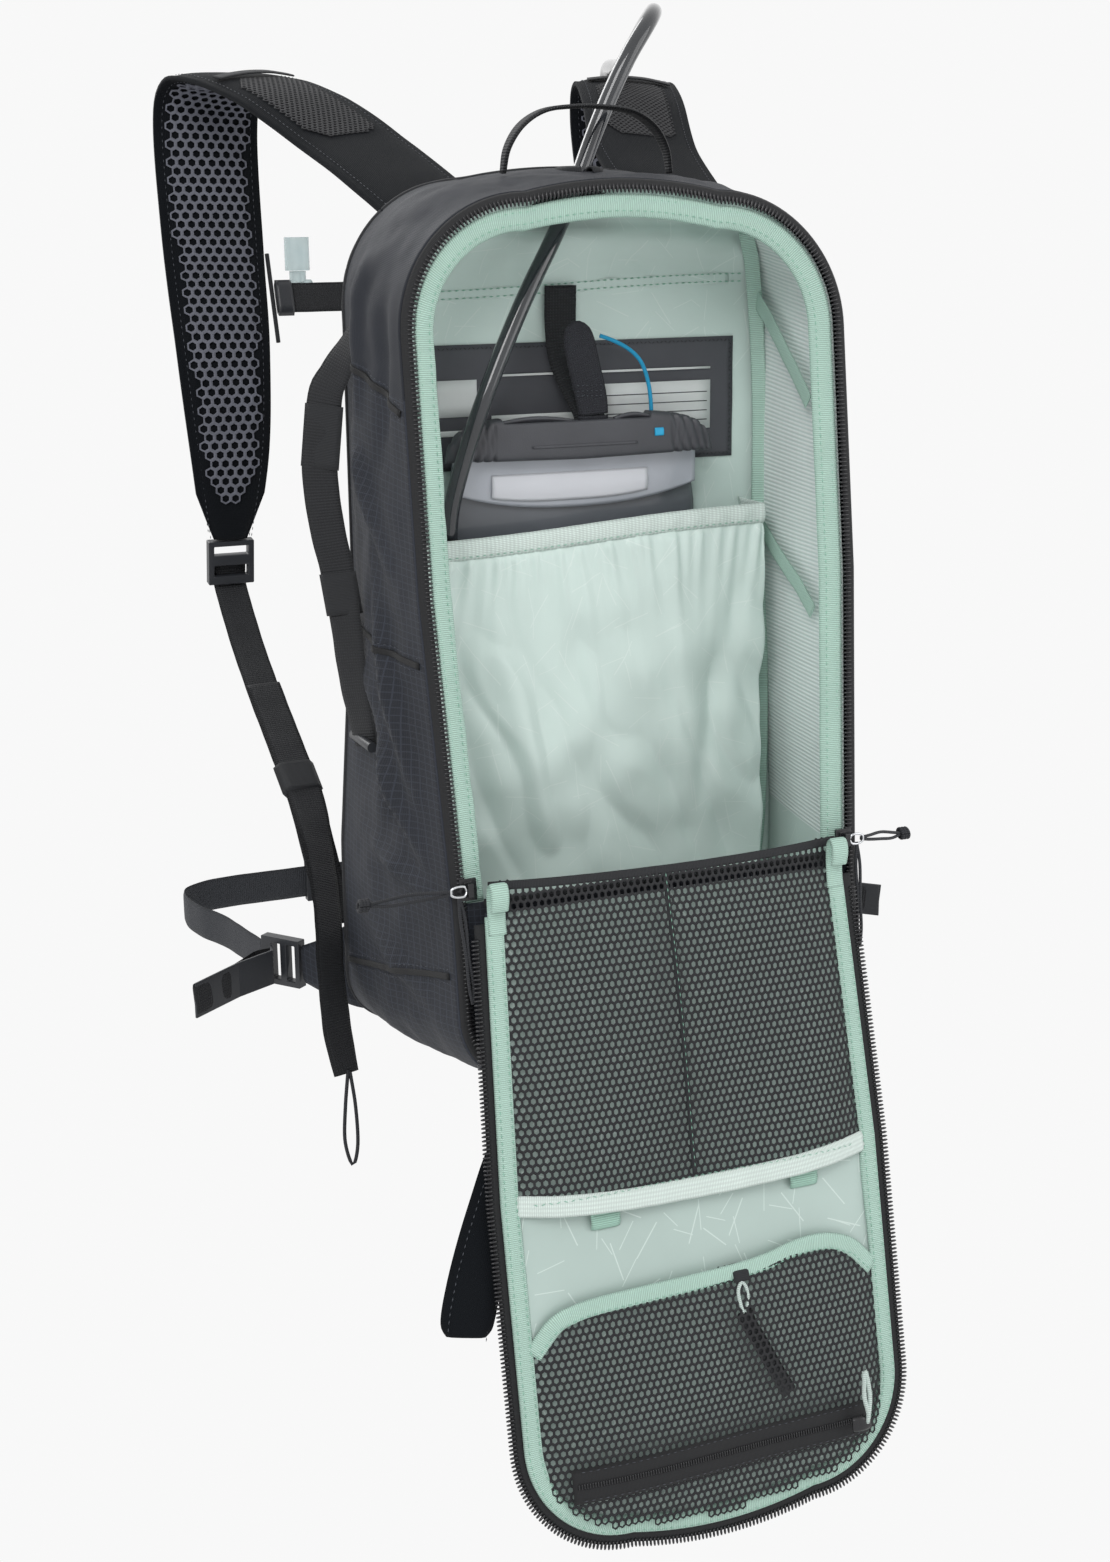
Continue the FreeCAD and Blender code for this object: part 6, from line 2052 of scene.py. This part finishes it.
def band_out(x):
    return float(pocket_out(x, ZIP_UP, LOWER_START, OPEN_HEIGHT, False)) - 0.9


band_points = [hanging((x, band_out(x), ZIP_UP)) for x in np.linspace(-ZIP_REACH, ZIP_REACH, 13)]
band = strap("pocket_zip_tape", band_points, 18.0, 1.4, zip_tape, FLAP_UP, step=2.5)
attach(band, "flap")
coil_points = smooth_line([hanging((x, band_out(x) - 1.0, ZIP_UP))
                           for x in np.linspace(-ZIP_REACH + 2, ZIP_REACH - 2, 13)], 2.0)
small_coil = teeth("pocket_zip_coil", coil_points, FLAP_IN, FLAP_UP, coil_black, pitch=1.4, reach_in=3.0,
                   high=1.3, wide=0.9)
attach(small_coil, "flap")
for number, step_up in enumerate((-7.4, 7.4)):
    line = [hanging((x, band_out(x) - 0.9, ZIP_UP + step_up))
            for x in np.linspace(-ZIP_REACH + 3, ZIP_REACH - 3, 20)]
    thread = stitches("pocket_zip_stitches_%d" % number, line, FLAP_IN, thread_black, lift=0.1)
    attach(thread, "flap")

SLIDER_X = ZIP_REACH - 8.0
slider_out = -14.0
slider_line = [hanging((SLIDER_X + s, slider_out - 1.2 * math.sin(math.pi * (s + 5) / 10), ZIP_UP))
               for s in np.linspace(-5, 5, 6)]
small_slider = strap("pocket_slider_body", slider_line, 8.0, 2.6, coil_black, FLAP_UP, step=1.0)
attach(small_slider, "pocket_slider")
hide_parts("pocket_zip_slider")
pull_path = [(SLIDER_X + 3, -15.4, 296), (SLIDER_X + 3.4, -16.8, 291), (SLIDER_X + 2.2, -16.2, 282),
             (SLIDER_X + 3.2, -15.6, 274),
             (SLIDER_X + 4.0, -15.4, 268), (SLIDER_X + 5.2, -15.8, 274), (SLIDER_X + 5.4, -16.2, 283),
             (SLIDER_X + 3.8, -16.6, 291)]
small_pull = cord_mesh("pocket_slider_cord", hanging(np.array(pull_path)), 2.4, cord_pale, step=1.5)
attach(small_pull, "pocket_slider")

KEY = (18.0, 210.0)
anchor_points = [hanging((KEY[0], n, up)) for n, up in ((-0.8, 203), (-6.0, 205), (-7.5, 208), (-6.8, 210.5))]
key_anchor = strap("key_anchor", anchor_points, 9.0, 1.2, strap_tape, step=1.0)
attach(key_anchor, "flap")
key_cord_path = [(18, -6.6, 210.5), (15.4, -7.4, 215), (16.0, -7.6, 222), (18.0, -7.2, 227),
                 (20.4, -7.0, 222), (20.6, -6.8, 215), (18.2, -6.4, 210.6)]
key_cord = cord_mesh("key_cord", hanging(np.array(key_cord_path)), 2.0, cord_pale, step=1.2)
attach(key_cord, "key_clip")
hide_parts("key_clip")
key_points = [hanging(p)
              for p in ((18, -6.8, 226), (21, -6.9, 235), (26, -6.8, 245), (33, -6.6, 260), (40, -6.4, 274))]
key_strap = strap("key_strap", key_points, 9.0, 1.6, webbing, (1.0, 0.0, -0.4), step=1.5)
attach(key_strap, "key_clip")

GEAR_LINE = [(-90, 1.6, 118), (-98, 1.6, 132), (-106, 1.8, 150), (-114, 2.1, 168), (-121, 2.4, 186),
             (-126, 2.7, 202), (-127.6, 2.8, 209),
             (-128.4, 2.8, 213)]
gear = strap("gear_tab_cloth", [hanging((x, FLAP_FACE + out, up)) for x, out, up in GEAR_LINE],
             [24, 27, 28, 28, 28, 28, 26, 20], 2.6, strap_cloth, (1.0, 0.0, 0.45), step=2.0, crown=0.5)
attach(gear, "flap")
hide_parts("gear_tab")
gear_step = unit(hanging((1.0, 0.0, 0.45)) - hanging((0.0, 0.0, 0.0)))
for number, reach in enumerate((-10.5, 10.5)):
    line = [hanging((x, FLAP_FACE + out - 1.4, up)) + gear_step * reach for x, out, up in GEAR_LINE]
    thread = stitches("gear_stitches_%d" % number, line, FLAP_IN, thread_black, lift=0.2)
    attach(thread, "flap")

# %% [markdown]
# Each main slider has a bright wire bail and a doubled cord puller. One cord is led back along
# the side to a knot; the other hangs down. They are thin, so they are drawn as smooth round
# cords over the model's simple rods.

# %% Pull cords
EYE = (-(HALF_FOLD), 6.6, 7.5)
for word, flip in (("left", 1.0), ("right", -1.0)):
    body = "pull_" + word
    x, out, up = EYE
    wire = [(x - 1.6, out - 0.4, up), (x - 3.0, out + 0.2, up + 2.3), (x - 6.5, out, up + 2.6),
            (x - 9.4, out - 0.2, up + 1.6),
            (x - 9.8, out - 0.2, up), (x - 9.4, out - 0.2, up - 1.6), (x - 6.5, out, up - 2.6),
            (x - 3.0, out + 0.2, up - 2.3),
            (x - 1.7, out - 0.3, up - 0.2)]
    bail = cord_mesh("bail_" + word, leaning(np.array(wire)) * (flip, 1, 1), 1.3, metal_bright, step=0.6,
                     turns=12)
    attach(bail, body)
    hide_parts("zip_pull_" + word)
    for number, (bow, drop) in enumerate(((1.3, 0.0), (-1.1, -0.6))):
        route = [(x - 8.6, out - 0.2, up + bow * 0.3), (x - 16, out - 4 + 0.4 * bow, up - 1 + bow),
                 (x - 27, out - 11, up - 2 + bow * 1.3 + drop),
                 (x - 38, out - 17.5, up - 4 + bow + drop), (x - 47, out - 23, up - 5.0)]
        cord = cord_mesh("side_cord_%s_%d" % (word, number), leaning(np.array(route)) * (flip, 1, 1), 1.7,
                         cord_black)
        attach(cord, body)
        hang = [(x - 6.0, out - 0.4, up - 1.8), (x - 5.4 + bow, out + 1.2, up - 14),
                (x - 4.6 + bow * 0.6, out + 2.2, up - 32),
                (x - 3.8 + bow, out + 2.8, up - 47), (x - 3.6, out + 3.0, up - 56)]
        cord = cord_mesh("hanging_cord_%s_%d" % (word, number), leaning(np.array(hang)) * (flip, 1, 1), 1.7,
                         cord_black)
        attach(cord, body)
    knot_lines = []
    for turn in range(3):
        middle = np.array((x - 46.5 - turn * 1.7, out - 23, up - 5.0))
        angles = np.linspace(0, 2 * math.pi, 13)
        knot_lines.append([middle + (0.5 * math.sin(a), 2.5 * math.cos(a), 2.5 * math.sin(a))
                           for a in angles])
    for number, knot_line in enumerate(knot_lines):
        knot = cord_mesh("side_knot_%s_%d" % (word, number), leaning(np.array(knot_line)) * (flip, 1, 1), 2.3,
                         cord_black, step=1.0)
        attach(knot, body)
